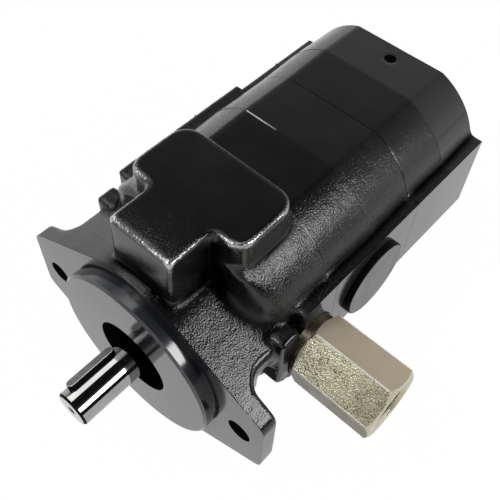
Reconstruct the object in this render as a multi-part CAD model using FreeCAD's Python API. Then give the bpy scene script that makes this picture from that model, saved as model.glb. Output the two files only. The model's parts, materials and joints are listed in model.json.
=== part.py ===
import FreeCAD, Part
import math
import os

# Two-stage hydraulic gear pump with a two-bolt flange and a keyed drive shaft. All sizes are millimetres.
# Origin: centre of the mounting flange's face, on the drive shaft's axis.
# The shaft points out along -Y, the rear is +Y, the idler shaft lies above at +Z, the ports are on +X.

V = FreeCAD.Vector

# Gears: both stages share one tooth form, so one pair of shafts carries both.
MODULE = 3.0
TEETH = 10
PRESSURE_ANGLE = 28.0
ADDENDUM = 1.0
DEDENDUM = 1.25
BACKLASH = 0.2
LOW_GEAR_WIDTH = 30.0
HIGH_GEAR_WIDTH = 10.0
TIP_CLEARANCE = 0.1
SIDE_CLEARANCE = 0.05

# Shafts, keys and rings
SHAFT_R = 7.9375
SHAFT_REACH = 38.1
SHAFT_CHAMFER = 0.9
CENTRE_DRILL_R = 1.9
CENTRE_DRILL_DEPTH = 3.0
SHAFT_END_GAP = 1.0
RUNNING_CLEARANCE = 0.04
SHAFT_PASSAGE_CLEARANCE = 1.5
KEY_WIDTH = 4.7625
KEY_LENGTH = 23.0
KEY_FROM_TIP = 3.6
KEY_ANGLE = 119.0
GEAR_KEY_MARGIN = 1.5
RING_THICKNESS = 1.1
RING_DEPTH = 0.6
RING_STAND = 0.9
RING_GAP = 0.1

# Wear plates, bushes and casting seals
PLATE_THICKNESS = 4.0
PLATE_CLEARANCE = 0.05
PLATE_BORE_CLEARANCE = 1.6
BUSH_WALL = 2.4
FRONT_BUSH_LENGTH = 18.0
REAR_BUSH_LENGTH = 19.0
SEAL_LAND = 2.0
SEAL_WIDTH = 2.4
SEAL_DEPTH = 1.6

# Castings, along the shaft and across
FRONT_LENGTH = 58.1
MIDDLE_LENGTH = 54.4
REAR_LENGTH = 49.5
BODY_WALL = 10.2
CASTING_DRAFT = 0.6
SHOULDER_R = 36.0
SHOULDER_X = 10.5
SHOULDER_RISE = 9.5
PAD_X = 50.5
PAD_STOCK = 3.0
REAR_PAD_STOCK = -0.5
PAD_HALF_HEIGHT = 20.0
LEDGE_FILLET = 2.5

# Mounting flange and pilot
PILOT_R = 41.275
PILOT_HEIGHT = 6.35
PILOT_CHAMFER = 1.0
UNDERCUT_WIDTH = 1.6
UNDERCUT_DEPTH = 1.2
FLANGE_R = 47.0
FLANGE_HALF_WIDTH = 65.1
FLANGE_SLOPE = 29.4
FLANGE_CORNER_R = 6.0
FLANGE_THICKNESS = 8.0
FLANGE_EDGE_R = 1.2
BOLT_SPACING = 106.4
BOLT_HOLE_R = 5.55

# Neck between the flange and the body, and the body's nose
NECK_HALF_WIDTH = 48.8
NECK_SIDE_BOTTOM = 20.0
NECK_FOOT_HALF = 36.0
NECK_FOOT_RISE = 10.0
NECK_BASE_HALF = 24.0
NECK_EDGE_R = 2.5
EAR_ROOT_R = 7.0
SPOTFACE_R = 12.0
SPOTFACE_DEPTH = 0.4
NOSE_START = 24.5
NOSE_CORNER_R = 15.0
NOSE_HALF_WIDTH = 45.0
NOSE_EDGE_R = 3.0
NOSE_INSET = 0.4
PAD_START = 38.5
PAD_CORNER_R = 2.0

# Jig lugs on the neck's sides
LUG_X = 51.8
LUG_INNER_X = 38.0
LUG_START = 24.7
LUG_LENGTH = 9.8
LUG_TOP = 31.0
LUG_BOTTOM = 0.0
LUG_EDGE_R = 1.4

# Tee-shaped valve boss on top of the front casting
BOSS_TOP = 68.5
BOSS_BASE = 38.0
BOSS_DRAFT = 2.5
STEM_HALF_WIDTH = 15.3
STEM_FRONT = 5.4
STEM_CORNER_R = 1.5
CROSSBAR_HALF_WIDTH = 28.8
CROSSBAR_FRONT = 25.8
CROSSBAR_REAR_MARGIN = 0.9
CROSSBAR_FRONT_R = 6.5
CROSSBAR_REAR_R = 9.0
BOSS_INNER_R = 3.0
BOSS_EDGE_R = 1.6

# Shaft seal bore in the pilot
SEAL_BORE_R = 18.1
SEAL_BORE_DEPTH = 26.0
SHAFT_SEAL_LENGTH = 8.0
SEAL_RING_THICKNESS = 1.4
SEAL_RING_DEPTH = 1.0
SEAL_RING_INNER_R = 15.2
SEAL_LIP_WALL = 1.2

# Through bolts and dowels
BODY_BOLT_R = 5.0
BODY_BOLT_X = 30.0
BODY_BOLT_RISE = 24.0
BODY_BOLT_THREAD = 16.0
BODY_BOLT_CLEARANCE = 0.5
BOLT_HEAD_R = 8.0
BOLT_HEAD_HEIGHT = 9.0
BOLT_HEAD_SINK = 1.0
BOLT_HEAD_CLEARANCE = 0.75
BOLT_SOCKET_FLATS = 8.0
BOLT_SOCKET_DEPTH = 5.0
DOWEL_R = 3.0
DOWEL_LENGTH = 12.0
DOWEL_X = 38.0
DOWEL_RISE = 14.0

# Valves in the front casting
VALVE_X = 18.0
VALVE_Y = 33.0
VALVE_PLUG_LENGTH = 10.0
VALVE_PLUG_FLATS = 5.0
VALVE_PLUG_SOCKET = 4.0
VALVE_CLEARANCE = 0.05
SPOOL_BORE_R = 6.0
SPOOL_BORE_TOP = 63.0
SPOOL_BOTTOM = 8.0
SPOOL_LENGTH = 40.0
SPOOL_LAND = 8.0
SPOOL_WAIST_R = 3.5
SPOOL_STOP_R = 2.5
SPRING_WIRE_R = 0.6
SPOOL_SPRING_R = 4.4
SPOOL_SPRING_TURNS = 6
CHECK_BORE_R = 6.5
CHECK_BORE_TOP = 43.0
CHECK_SEAT_BOTTOM = 28.0
CHECK_SEAT_LENGTH = 6.0
CHECK_SEAT_R = 3.8
CHECK_LIFT_GAP = 0.2
POPPET_SKIRT = 9.0
POPPET_WALL = 1.6
CHECK_SPRING_R = 3.9
CHECK_SPRING_TURNS = 9
CHECK_SPIGOT_R = 2.6
CHECK_SPIGOT_TOP = -8.0

# Oil galleries
GALLERY_X = 26.0
GALLERY_R = 4.5
LOW_GALLERY_Z = 24.0
HIGH_GALLERY_Z = 4.0
CROSS_R = 3.5
UPPER_CROSS_Z = 38.0
LOWER_CROSS_Z = -14.0
SUCTION_GALLERY_R = 6.0

# Suction port and its cap
SUCTION_Y = 84.7
SUCTION_Z = 12.0
SUCTION_THREAD_R = 15.4
SUCTION_THREAD_DEPTH = 15.0
SUCTION_THROAT_R = 12.0
CAP_R = 18.1
CAP_THICKNESS = 3.0
CAP_PLUG_LENGTH = 12.0
CAP_WALL = 2.5
CAP_EDGE = 0.5

# Outlet port and its hexagon adapter
OUTLET_Y = 42.7
OUTLET_Z = 11.1
OUTLET_THREAD_R = 10.6
OUTLET_THREAD_DEPTH = 14.0
OUTLET_THROAT_R = 7.0
HEX_FLATS = 28.6
HEX_START = 54.1
HEX_LENGTH = 37.7
HEX_TURN = 41.4
HEX_CHAMFER = 1.6
COLLAR_R = 14.0
ADAPTER_BORE_R = 6.5
ADAPTER_PORT_R = 9.13
ADAPTER_PORT_DEPTH = 17.0
ADAPTER_PORT_CHAMFER = 1.3
PORT_SPOT_CLEARANCE = 0.5

# Tapped hole on the rear casting's top
TOP_HOLE_R = 2.75
TOP_HOLE_DEPTH = 8.0
TOP_HOLE_FROM_REAR = 8.6
TOP_HOLE_X = 1.0

# Places worked out from the sizes above
CENTRE_DISTANCE = MODULE * TEETH
GEAR_TIP_R = MODULE * (TEETH / 2.0 + ADDENDUM)
GEAR_ROOT_R = MODULE * (TEETH / 2.0 - DEDENDUM)
POCKET_R = GEAR_TIP_R + TIP_CLEARANCE
AXES_Z = (0.0, CENTRE_DISTANCE)
MID_Z = CENTRE_DISTANCE / 2.0
HALF_HEIGHT = MID_Z + POCKET_R + BODY_WALL
TOP_Z = MID_Z + HALF_HEIGHT
BOTTOM_Z = MID_Z - HALF_HEIGHT
FRONT_SEAM = FRONT_LENGTH
REAR_SEAM = FRONT_SEAM + MIDDLE_LENGTH
REAR_END = REAR_SEAM + REAR_LENGTH
CROSSBAR_REAR = FRONT_SEAM - CROSSBAR_REAR_MARGIN
LOW_POCKET_DEPTH = LOW_GEAR_WIDTH + 2.0 * (PLATE_THICKNESS + SIDE_CLEARANCE)
HIGH_POCKET_DEPTH = HIGH_GEAR_WIDTH + 2.0 * (PLATE_THICKNESS + SIDE_CLEARANCE)
LOW_GEAR_Y = FRONT_SEAM + PLATE_THICKNESS + SIDE_CLEARANCE
HIGH_GEAR_Y = REAR_SEAM + PLATE_THICKNESS + SIDE_CLEARANCE
BUSH_R = SHAFT_R + RUNNING_CLEARANCE + BUSH_WALL
FRONT_BUSH_Y = FRONT_SEAM - FRONT_BUSH_LENGTH
MIDDLE_BUSH_Y = FRONT_SEAM + LOW_POCKET_DEPTH
MIDDLE_BUSH_LENGTH = REAR_SEAM - MIDDLE_BUSH_Y
REAR_BUSH_Y = REAR_SEAM + HIGH_POCKET_DEPTH
SHAFT_REAR = REAR_BUSH_Y + REAR_BUSH_LENGTH - SHAFT_END_GAP
SHAFT_TIP = -SHAFT_REACH
HEX_END = HEX_START + HEX_LENGTH
SHAFT_SEAL_Y = SEAL_BORE_DEPTH - PILOT_HEIGHT - SHAFT_SEAL_LENGTH
SEAL_RING_Y = SHAFT_SEAL_Y - SEAL_RING_THICKNESS
BOLT_PLACES = [(sx * BODY_BOLT_X, MID_Z + sz * BODY_BOLT_RISE) for sx in (-1, 1) for sz in (-1, 1)]
DOWEL_PLACES = [(-DOWEL_X, MID_Z - DOWEL_RISE), (DOWEL_X, MID_Z + DOWEL_RISE)]


# Plain solids
def box(x0, x1, y0, y1, z0, z1):
    return Part.makeBox(x1 - x0, y1 - y0, z1 - z0, V(x0, y0, z0))


def rod_y(radius, y0, y1, x=0.0, z=0.0):
    return Part.makeCylinder(radius, y1 - y0, V(x, y0, z), V(0, 1, 0))


def rod_x(radius, x0, x1, y, z):
    return Part.makeCylinder(radius, x1 - x0, V(x0, y, z), V(1, 0, 0))


def rod_z(radius, z0, z1, x, y):
    return Part.makeCylinder(radius, z1 - z0, V(x, y, z0), V(0, 0, 1))


def turned_y(profile, x=0.0, z=0.0):
    """Revolve a closed outline of (radius, y) points about an axis along Y."""
    points = [V(x + r, y, z) for r, y in profile]
    face = Part.Face(Part.makePolygon(points + points[:1]))
    return face.revolve(V(x, 0, z), V(0, 1, 0), 360)


def turned_x(profile, y, z):
    """Revolve a closed outline of (radius, x) points about an axis along X."""
    points = [V(along, y + r, z) for r, along in profile]
    face = Part.Face(Part.makePolygon(points + points[:1]))
    return face.revolve(V(0, y, z), V(1, 0, 0), 360)


def turned_z(profile, x, y):
    """Revolve a closed outline of (radius, z) points about an axis along Z."""
    points = [V(x + r, y, along) for r, along in profile]
    face = Part.Face(Part.makePolygon(points + points[:1]))
    return face.revolve(V(x, y, 0), V(0, 0, 1), 360)


def rounded_outline(corners, place):
    """Closed wire through (u, v, radius) corners, each turned by a tangent arc of its radius."""
    count = len(corners)
    ends = []
    for i, (u, v, radius) in enumerate(corners):
        corner = V(u, v, 0)
        before = V(*corners[i - 1][:2], 0) - corner
        after = V(*corners[(i + 1) % count][:2], 0) - corner
        before.normalize()
        after.normalize()
        half = before.getAngle(after) / 2.0
        if radius <= 0.0:
            ends.append((corner, None, corner))
            continue
        reach = radius / math.tan(half)
        middle = before + after
        middle.normalize()
        crown = corner + middle * (radius / math.sin(half) - radius)
        ends.append((corner + before * reach, crown, corner + after * reach))
    edges = []
    for i, (start, crown, stop) in enumerate(ends):
        if crown is not None:
            edges.append(Part.Arc(place(start), place(crown), place(stop)).toShape())
        following = ends[(i + 1) % count][0]
        edges.append(Part.LineSegment(place(stop), place(following)).toShape())
    return Part.Wire(edges)


def prism(wire, direction):
    return Part.Face(wire).extrude(direction)


def regular_wire(count, flats, turn, place):
    """Regular polygon of a given width across flats."""
    radius = flats / 2.0 / math.cos(math.pi / count)
    angles = [math.radians(turn) + 2.0 * math.pi * i / count for i in range(count + 1)]
    return Part.makePolygon([place(V(radius * math.cos(a), radius * math.sin(a), 0)) for a in angles])


def fuse_all(shapes):
    solid = shapes[0]
    for shape in shapes[1:]:
        solid = solid.fuse(shape)
    return solid.removeSplitter()


def cut_all(solid, tools):
    for tool in tools:
        solid = solid.cut(tool)
    return solid


def round_edges(shape, radius, wanted):
    """Round the edges that the test picks by their centre and box."""
    edges = [e for e in shape.Edges if wanted(e.CenterOfMass, e.BoundBox)]
    return shape.makeFillet(radius, edges)


# Body section: flat top, round shoulders, ledges over the side pads, the same below
def body_wire(y, inset, left_stock):
    radius = SHOULDER_R - inset
    rise = HALF_HEIGHT - inset
    flat = SHOULDER_X + math.sqrt(radius ** 2 - (rise - SHOULDER_RISE) ** 2)
    fillet_rise = PAD_HALF_HEIGHT + LEDGE_FILLET
    gap = radius + LEDGE_FILLET
    fillet_x = SHOULDER_X + math.sqrt(gap ** 2 - (fillet_rise - SHOULDER_RISE) ** 2)
    share = radius / gap
    foot = (SHOULDER_X + (fillet_x - SHOULDER_X) * share, SHOULDER_RISE + (fillet_rise - SHOULDER_RISE) * share)
    middle_angle = (math.atan2(rise - SHOULDER_RISE, flat - SHOULDER_X)
                    + math.atan2(foot[1] - SHOULDER_RISE, foot[0] - SHOULDER_X)) / 2.0
    crown = (SHOULDER_X + radius * math.cos(middle_angle), SHOULDER_RISE + radius * math.sin(middle_angle))
    hollow_x = (fillet_x + foot[0]) / 2.0 - fillet_x
    hollow_z = (PAD_HALF_HEIGHT + foot[1]) / 2.0 - fillet_rise
    scale = LEDGE_FILLET / math.hypot(hollow_x, hollow_z)
    hollow = (fillet_x + hollow_x * scale, fillet_rise + hollow_z * scale)

    def quarter(side, up, pad_x):
        def at(point):
            return V(side * point[0], y, MID_Z + up * point[1])
        return [
            Part.Arc(at((flat, rise)), at(crown), at(foot)).toShape(),
            Part.Arc(at(foot), at(hollow), at((fillet_x, PAD_HALF_HEIGHT))).toShape(),
            Part.LineSegment(at((fillet_x, PAD_HALF_HEIGHT)), at((pad_x, PAD_HALF_HEIGHT))).toShape(),
        ]

    pad_left = PAD_X + left_stock
    edges = []
    for side, up in ((1, 1), (1, -1), (-1, -1), (-1, 1)):
        edges += quarter(side, up, PAD_X if side > 0 else pad_left)
    for side, pad_x in ((1, PAD_X), (-1, pad_left)):
        top = V(side * pad_x, y, MID_Z + PAD_HALF_HEIGHT)
        edges.append(Part.LineSegment(top, V(side * pad_x, y, MID_Z - PAD_HALF_HEIGHT)).toShape())
    for up in (1, -1):
        level = MID_Z + up * rise
        edges.append(Part.LineSegment(V(-flat, y, level), V(flat, y, level)).toShape())
    return Part.Wire(Part.__sortEdges__(edges))


def body_length(y0, y1, inset0, inset1, left_stock):
    wires = [body_wire(y0, inset0, left_stock), body_wire(y1, inset1, left_stock)]
    return Part.makeLoft(wires, True, True)


def drafted_body(y0, y1, left_stock):
    """A casting drawn from both sides of a mould whose joint runs round its middle."""
    middle = (y0 + y1) / 2.0
    return fuse_all([
        body_length(y0, middle, CASTING_DRAFT, 0.0, left_stock),
        body_length(middle, y1, 0.0, CASTING_DRAFT, left_stock),
    ])


# Flange, neck, nose, lugs and boss of the front casting
def flange_outline(y):
    """Diamond with round ends that runs tangent to the circle round the pilot."""
    angle = math.radians(FLANGE_SLOPE)
    touch = V(FLANGE_R * math.sin(angle), 0, FLANGE_R * math.cos(angle))
    ear_x = FLANGE_HALF_WIDTH - FLANGE_CORNER_R
    ear_z = ((FLANGE_R - FLANGE_CORNER_R) - ear_x * math.sin(angle)) / math.cos(angle)
    start = V(ear_x + FLANGE_CORNER_R * math.sin(angle), 0, ear_z + FLANGE_CORNER_R * math.cos(angle))
    half = (math.pi / 2.0 - angle) / 2.0
    crown = V(ear_x + FLANGE_CORNER_R * math.cos(half), 0, ear_z + FLANGE_CORNER_R * math.sin(half))
    side = V(FLANGE_HALF_WIDTH, 0, ear_z)

    def at(point, sx, sz):
        return V(sx * point.x, y, sz * point.z)

    edges = []
    for sx in (1, -1):
        for sz in (1, -1):
            edges.append(Part.LineSegment(at(touch, sx, sz), at(start, sx, sz)).toShape())
            edges.append(Part.Arc(at(start, sx, sz), at(crown, sx, sz), at(side, sx, sz)).toShape())
        edges.append(Part.LineSegment(at(side, sx, 1), at(side, sx, -1)).toShape())
    for sz in (1, -1):
        edges.append(Part.Arc(at(touch, 1, sz), V(0, y, sz * FLANGE_R), at(touch, -1, sz)).toShape())
    return Part.Wire(Part.__sortEdges__(edges))


def flange_plate():
    plate = prism(flange_outline(0.0), V(0, FLANGE_THICKNESS, 0))

    def back_rim(centre, bounds):
        flat = bounds.YMax - bounds.YMin < 0.01
        return flat and abs(centre.y - FLANGE_THICKNESS) < 0.01
    return round_edges(plate, FLANGE_EDGE_R, back_rim)


def neck():
    """Block behind the flange under the same sloping roofs: it flares into the ears and narrows downwards."""
    web_end = FLANGE_THICKNESS + EAR_ROOT_R
    reach = NECK_HALF_WIDTH + EAR_ROOT_R
    plan = [box(-NECK_HALF_WIDTH, NECK_HALF_WIDTH, 0.0, PAD_START, -FLANGE_R, FLANGE_R)]
    flare = box(-reach, reach, 0.0, web_end, -FLANGE_R, FLANGE_R)
    hollows = [rod_z(EAR_ROOT_R, -FLANGE_R - 1.0, FLANGE_R + 1.0, side * reach, web_end) for side in (-1, 1)]
    plan.append(cut_all(flare, hollows))
    block = prism(flange_outline(0.0), V(0, PAD_START, 0)).common(fuse_all(plan))

    def eave(centre, bounds):
        return abs(centre.x) > NECK_HALF_WIDTH - 0.1 and centre.z > 1.0 and bounds.YMax > FLANGE_THICKNESS + 0.1
    edges = [e for e in block.Edges if eave(e.CenterOfMass, e.BoundBox)
             and e.BoundBox.YMax - e.BoundBox.YMin > 1.0]
    block = block.makeFillet(NECK_EDGE_R, edges)
    undercuts = []
    for side in (1, -1):
        corners = [
            (NECK_HALF_WIDTH, NECK_SIDE_BOTTOM),
            (NECK_FOOT_HALF, BOTTOM_Z + NECK_FOOT_RISE),
            (NECK_BASE_HALF, BOTTOM_Z),
            (-1.0, BOTTOM_Z),
            (-1.0, -FLANGE_R - 1.0),
            (FLANGE_HALF_WIDTH, -FLANGE_R - 1.0),
            (FLANGE_HALF_WIDTH, NECK_SIDE_BOTTOM),
        ]
        wire = rounded_outline([(side * u, v, 0.0) for u, v in corners], lambda p: V(p.x, web_end, p.y))
        undercuts.append(prism(wire, V(0, PAD_START, 0)))
    return cut_all(block, undercuts)


def nose_wire(y, inset):
    """Section of the body without its pads: flat top and bottom, round shoulders, straight sides."""
    radius = SHOULDER_R - inset
    rise = HALF_HEIGHT - inset
    flat = SHOULDER_X + math.sqrt(radius ** 2 - (rise - SHOULDER_RISE) ** 2)
    side_x = SHOULDER_X + radius
    half = math.atan2(rise - SHOULDER_RISE, flat - SHOULDER_X) / 2.0
    crown = (SHOULDER_X + radius * math.cos(half), SHOULDER_RISE + radius * math.sin(half))

    def at(u, v, sx, sz):
        return V(sx * u, y, MID_Z + sz * v)

    edges = []
    for sx in (1, -1):
        for sz in (1, -1):
            ends = (at(flat, rise, sx, sz), at(*crown, sx, sz), at(side_x, SHOULDER_RISE, sx, sz))
            edges.append(Part.Arc(*ends).toShape())
        edges.append(Part.LineSegment(at(side_x, SHOULDER_RISE, sx, 1), at(side_x, SHOULDER_RISE, sx, -1)).toShape())
    for sz in (1, -1):
        edges.append(Part.LineSegment(at(flat, rise, 1, sz), at(flat, rise, -1, sz)).toShape())
    return Part.Wire(Part.__sortEdges__(edges))


def nose():
    """The body's front end in front of its pads, round in plan at both corners and along its front rims."""
    body = prism(nose_wire(NOSE_START, NOSE_INSET), V(0, FRONT_SEAM - NOSE_START, 0))
    corners = [
        (NOSE_HALF_WIDTH, NOSE_START, NOSE_CORNER_R),
        (NOSE_HALF_WIDTH, FRONT_SEAM, 0.0),
        (-NOSE_HALF_WIDTH, FRONT_SEAM, 0.0),
        (-NOSE_HALF_WIDTH, NOSE_START, NOSE_CORNER_R),
    ]
    plan = rounded_outline(corners, lambda p: V(p.x, p.y, BOTTOM_Z - 1.0))
    body = body.common(prism(plan, V(0, 0, 2.0 * HALF_HEIGHT + 2.0)))

    def front_rim(centre, bounds):
        return bounds.YMax < FRONT_SEAM - 1.0 and bounds.XMax - bounds.XMin > 0.5
    body = round_edges(body, NOSE_EDGE_R, front_rim)
    return body.common(box(-PAD_X, PAD_X, NOSE_START, PAD_START, BOTTOM_Z, TOP_Z))


def front_pads():
    """The rest of the front body: full section with its side pads, round at their front corners."""
    body = body_length(PAD_START, FRONT_SEAM, NOSE_INSET, 0.0, PAD_STOCK)

    def front_corner(centre, bounds):
        upright = bounds.XMax - bounds.XMin < 0.01 and bounds.ZMax - bounds.ZMin > PAD_HALF_HEIGHT
        return upright and bounds.YMax < PAD_START + 0.01 and abs(centre.x) > PAD_X - 0.01
    return round_edges(body, PAD_CORNER_R, front_corner)


def jig_lug(side):
    x0, x1 = sorted((side * LUG_INNER_X, side * LUG_X))
    lug = box(x0, x1, LUG_START, LUG_START + LUG_LENGTH, LUG_BOTTOM, LUG_TOP)

    def outer(centre, bounds):
        return side * centre.x > LUG_INNER_X + 1.0 and centre.z > LUG_BOTTOM + 1.0
    return round_edges(lug, LUG_EDGE_R, outer)


def boss_wire(z):
    grow = (BOSS_TOP - z) * math.tan(math.radians(BOSS_DRAFT))
    half = []
    half.append((STEM_HALF_WIDTH + grow, STEM_FRONT - grow, STEM_CORNER_R + grow))
    half.append((STEM_HALF_WIDTH + grow, CROSSBAR_FRONT - grow, max(BOSS_INNER_R - grow, 0.5)))
    half.append((CROSSBAR_HALF_WIDTH + grow, CROSSBAR_FRONT - grow, CROSSBAR_FRONT_R + grow))
    half.append((CROSSBAR_HALF_WIDTH + grow, CROSSBAR_REAR, CROSSBAR_REAR_R + grow))
    corners = half + [(-u, v, r) for u, v, r in reversed(half)]
    return rounded_outline(corners, lambda p: V(p.x, p.y, z))


def valve_boss():
    boss = Part.makeLoft([boss_wire(BOSS_BASE), boss_wire(BOSS_TOP)], True, True)
    return round_edges(boss, BOSS_EDGE_R, lambda c, b: b.ZMin > BOSS_TOP - 0.01)


def pilot():
    """Pilot ring with a chamfered rim and a groove at its root."""
    root_r = PILOT_R - UNDERCUT_DEPTH
    profile = [
        (0.0, -PILOT_HEIGHT),
        (PILOT_R - PILOT_CHAMFER, -PILOT_HEIGHT),
        (PILOT_R, -PILOT_HEIGHT + PILOT_CHAMFER),
        (PILOT_R, -UNDERCUT_WIDTH),
        (root_r, -UNDERCUT_WIDTH),
        (root_r, FLANGE_THICKNESS / 2.0),
        (0.0, FLANGE_THICKNESS / 2.0),
    ]
    return turned_y(profile)


# Holes that castings share
def bolt_holes(radius, y0, y1):
    return [rod_y(radius, y0, y1, x, z) for x, z in BOLT_PLACES]


def dowel_holes(seam):
    return [rod_y(DOWEL_R, seam - DOWEL_LENGTH / 2.0, seam + DOWEL_LENGTH / 2.0, x, z) for x, z in DOWEL_PLACES]


def bush_bores(y0, y1):
    return [rod_y(BUSH_R, y0, y1, 0.0, z) for z in AXES_Z]


def figure_eight(radius, y0, y1):
    return fuse_all([rod_y(radius, y0, y1, 0.0, z) for z in AXES_Z])


def oval_ring(y0, y1):
    """Ring round both gear bores, straight at its sides."""
    inner = POCKET_R + SEAL_LAND
    outer = inner + SEAL_WIDTH

    def oval(radius):
        ends = [rod_y(radius, y0, y1, 0.0, z) for z in AXES_Z]
        return fuse_all(ends + [box(-radius, radius, y0, y1, AXES_Z[0], AXES_Z[1])])
    return oval(outer).cut(oval(inner))


# The three castings
def front_housing():
    solid = fuse_all([flange_plate(), neck(), nose(), front_pads(), jig_lug(1), jig_lug(-1), valve_boss(), pilot()])
    bolt_x = BOLT_SPACING / 2.0
    tools = [rod_y(BOLT_HOLE_R, -1.0, FLANGE_THICKNESS + 1.0, side * bolt_x, 0.0) for side in (-1, 1)]
    seat = FLANGE_THICKNESS - SPOTFACE_DEPTH
    tools += [rod_y(SPOTFACE_R, seat, LUG_START, side * bolt_x, 0.0) for side in (-1, 1)]
    tools.append(rod_y(SEAL_BORE_R, -PILOT_HEIGHT - 1.0, SEAL_BORE_DEPTH - PILOT_HEIGHT))
    tools.append(rod_y(SEAL_BORE_R + SEAL_RING_DEPTH, SEAL_RING_Y, SHAFT_SEAL_Y))
    tools.append(rod_y(SHAFT_R + SHAFT_PASSAGE_CLEARANCE, -PILOT_HEIGHT, FRONT_BUSH_Y + 1.0))
    tools += bush_bores(FRONT_BUSH_Y, FRONT_SEAM + 1.0)
    tools += bolt_holes(BODY_BOLT_R, FRONT_SEAM - BODY_BOLT_THREAD, FRONT_SEAM + 1.0)
    tools += dowel_holes(FRONT_SEAM)
    for z in (LOW_GALLERY_Z, HIGH_GALLERY_Z):
        tools.append(rod_y(GALLERY_R, VALVE_Y, FRONT_SEAM + 1.0, -GALLERY_X, z))
    tools.append(rod_z(SPOOL_BORE_R, BOTTOM_Z - 1.0, SPOOL_BORE_TOP, -VALVE_X, VALVE_Y))
    tools.append(rod_z(CHECK_BORE_R, BOTTOM_Z - 1.0, CHECK_BORE_TOP, VALVE_X, VALVE_Y))
    for z in (UPPER_CROSS_Z, LOWER_CROSS_Z):
        tools.append(rod_x(CROSS_R, -VALVE_X, VALVE_X, VALVE_Y, z))
    tools.append(rod_x(OUTLET_THREAD_R, PAD_X - OUTLET_THREAD_DEPTH, PAD_X + 1.0, OUTLET_Y, OUTLET_Z))
    tools.append(rod_x(OUTLET_THROAT_R, VALVE_X, PAD_X, OUTLET_Y, OUTLET_Z))
    tools.append(rod_x(COLLAR_R + PORT_SPOT_CLEARANCE, PAD_X, LUG_X + 1.0, OUTLET_Y, OUTLET_Z))
    return cut_all(solid, tools)


def middle_housing():
    solid = drafted_body(FRONT_SEAM, REAR_SEAM, PAD_STOCK)
    tools = [figure_eight(POCKET_R, FRONT_SEAM - 1.0, MIDDLE_BUSH_Y)]
    tools += bush_bores(MIDDLE_BUSH_Y - 1.0, REAR_SEAM + 1.0)
    tools += bolt_holes(BODY_BOLT_R + BODY_BOLT_CLEARANCE, FRONT_SEAM - 1.0, REAR_SEAM + 1.0)
    tools += dowel_holes(FRONT_SEAM) + dowel_holes(REAR_SEAM)
    tools.append(oval_ring(FRONT_SEAM - 1.0, FRONT_SEAM + SEAL_DEPTH))
    tools.append(rod_y(GALLERY_R, FRONT_SEAM - 1.0, REAR_SEAM + 1.0, -GALLERY_X, HIGH_GALLERY_Z))
    low_middle = LOW_GEAR_Y + LOW_GEAR_WIDTH / 2.0
    tools.append(rod_y(GALLERY_R, FRONT_SEAM - 1.0, low_middle, -GALLERY_X, LOW_GALLERY_Z))
    tools.append(rod_x(GALLERY_R, -GALLERY_X, 0.0, low_middle, LOW_GALLERY_Z - GALLERY_R))
    tools.append(rod_x(SUCTION_THREAD_R, PAD_X - SUCTION_THREAD_DEPTH, PAD_X + 1.0, SUCTION_Y, SUCTION_Z))
    tools.append(rod_x(SUCTION_THROAT_R, 0.0, PAD_X, SUCTION_Y - 1.0, SUCTION_Z))
    tools.append(rod_y(SUCTION_GALLERY_R, SUCTION_Y, REAR_SEAM + 1.0, GALLERY_X, MID_Z))
    return cut_all(solid, tools)


def rear_housing():
    solid = drafted_body(REAR_SEAM, REAR_END, REAR_PAD_STOCK)
    tools = [figure_eight(POCKET_R, REAR_SEAM - 1.0, REAR_BUSH_Y)]
    tools += bush_bores(REAR_BUSH_Y - 1.0, REAR_BUSH_Y + REAR_BUSH_LENGTH)
    tools += bolt_holes(BODY_BOLT_R + BODY_BOLT_CLEARANCE, REAR_SEAM - 1.0, REAR_END + 1.0)
    head_seat = REAR_END - BOLT_HEAD_SINK - BOLT_HEAD_HEIGHT
    tools += bolt_holes(BOLT_HEAD_R + BOLT_HEAD_CLEARANCE, head_seat, REAR_END + 1.0)
    tools += dowel_holes(REAR_SEAM)
    tools.append(oval_ring(REAR_SEAM - 1.0, REAR_SEAM + SEAL_DEPTH))
    high_middle = HIGH_GEAR_Y + HIGH_GEAR_WIDTH / 2.0
    tools.append(rod_y(GALLERY_R, REAR_SEAM - 1.0, high_middle, -GALLERY_X, HIGH_GALLERY_Z))
    tools.append(rod_x(GALLERY_R, -GALLERY_X, 0.0, high_middle, HIGH_GALLERY_Z + GALLERY_R))
    tools.append(rod_y(SUCTION_GALLERY_R, REAR_SEAM - 1.0, high_middle, GALLERY_X, MID_Z))
    tools.append(rod_x(GALLERY_R, 0.0, GALLERY_X, high_middle, MID_Z))
    hole_y = REAR_END - TOP_HOLE_FROM_REAR
    tools.append(rod_z(TOP_HOLE_R, TOP_Z - CASTING_DRAFT - TOP_HOLE_DEPTH, TOP_Z + 1.0, TOP_HOLE_X, hole_y))
    return cut_all(solid, tools)


# Gears on keyed shafts
def involute_angle(pressure):
    return math.tan(pressure) - pressure


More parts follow.
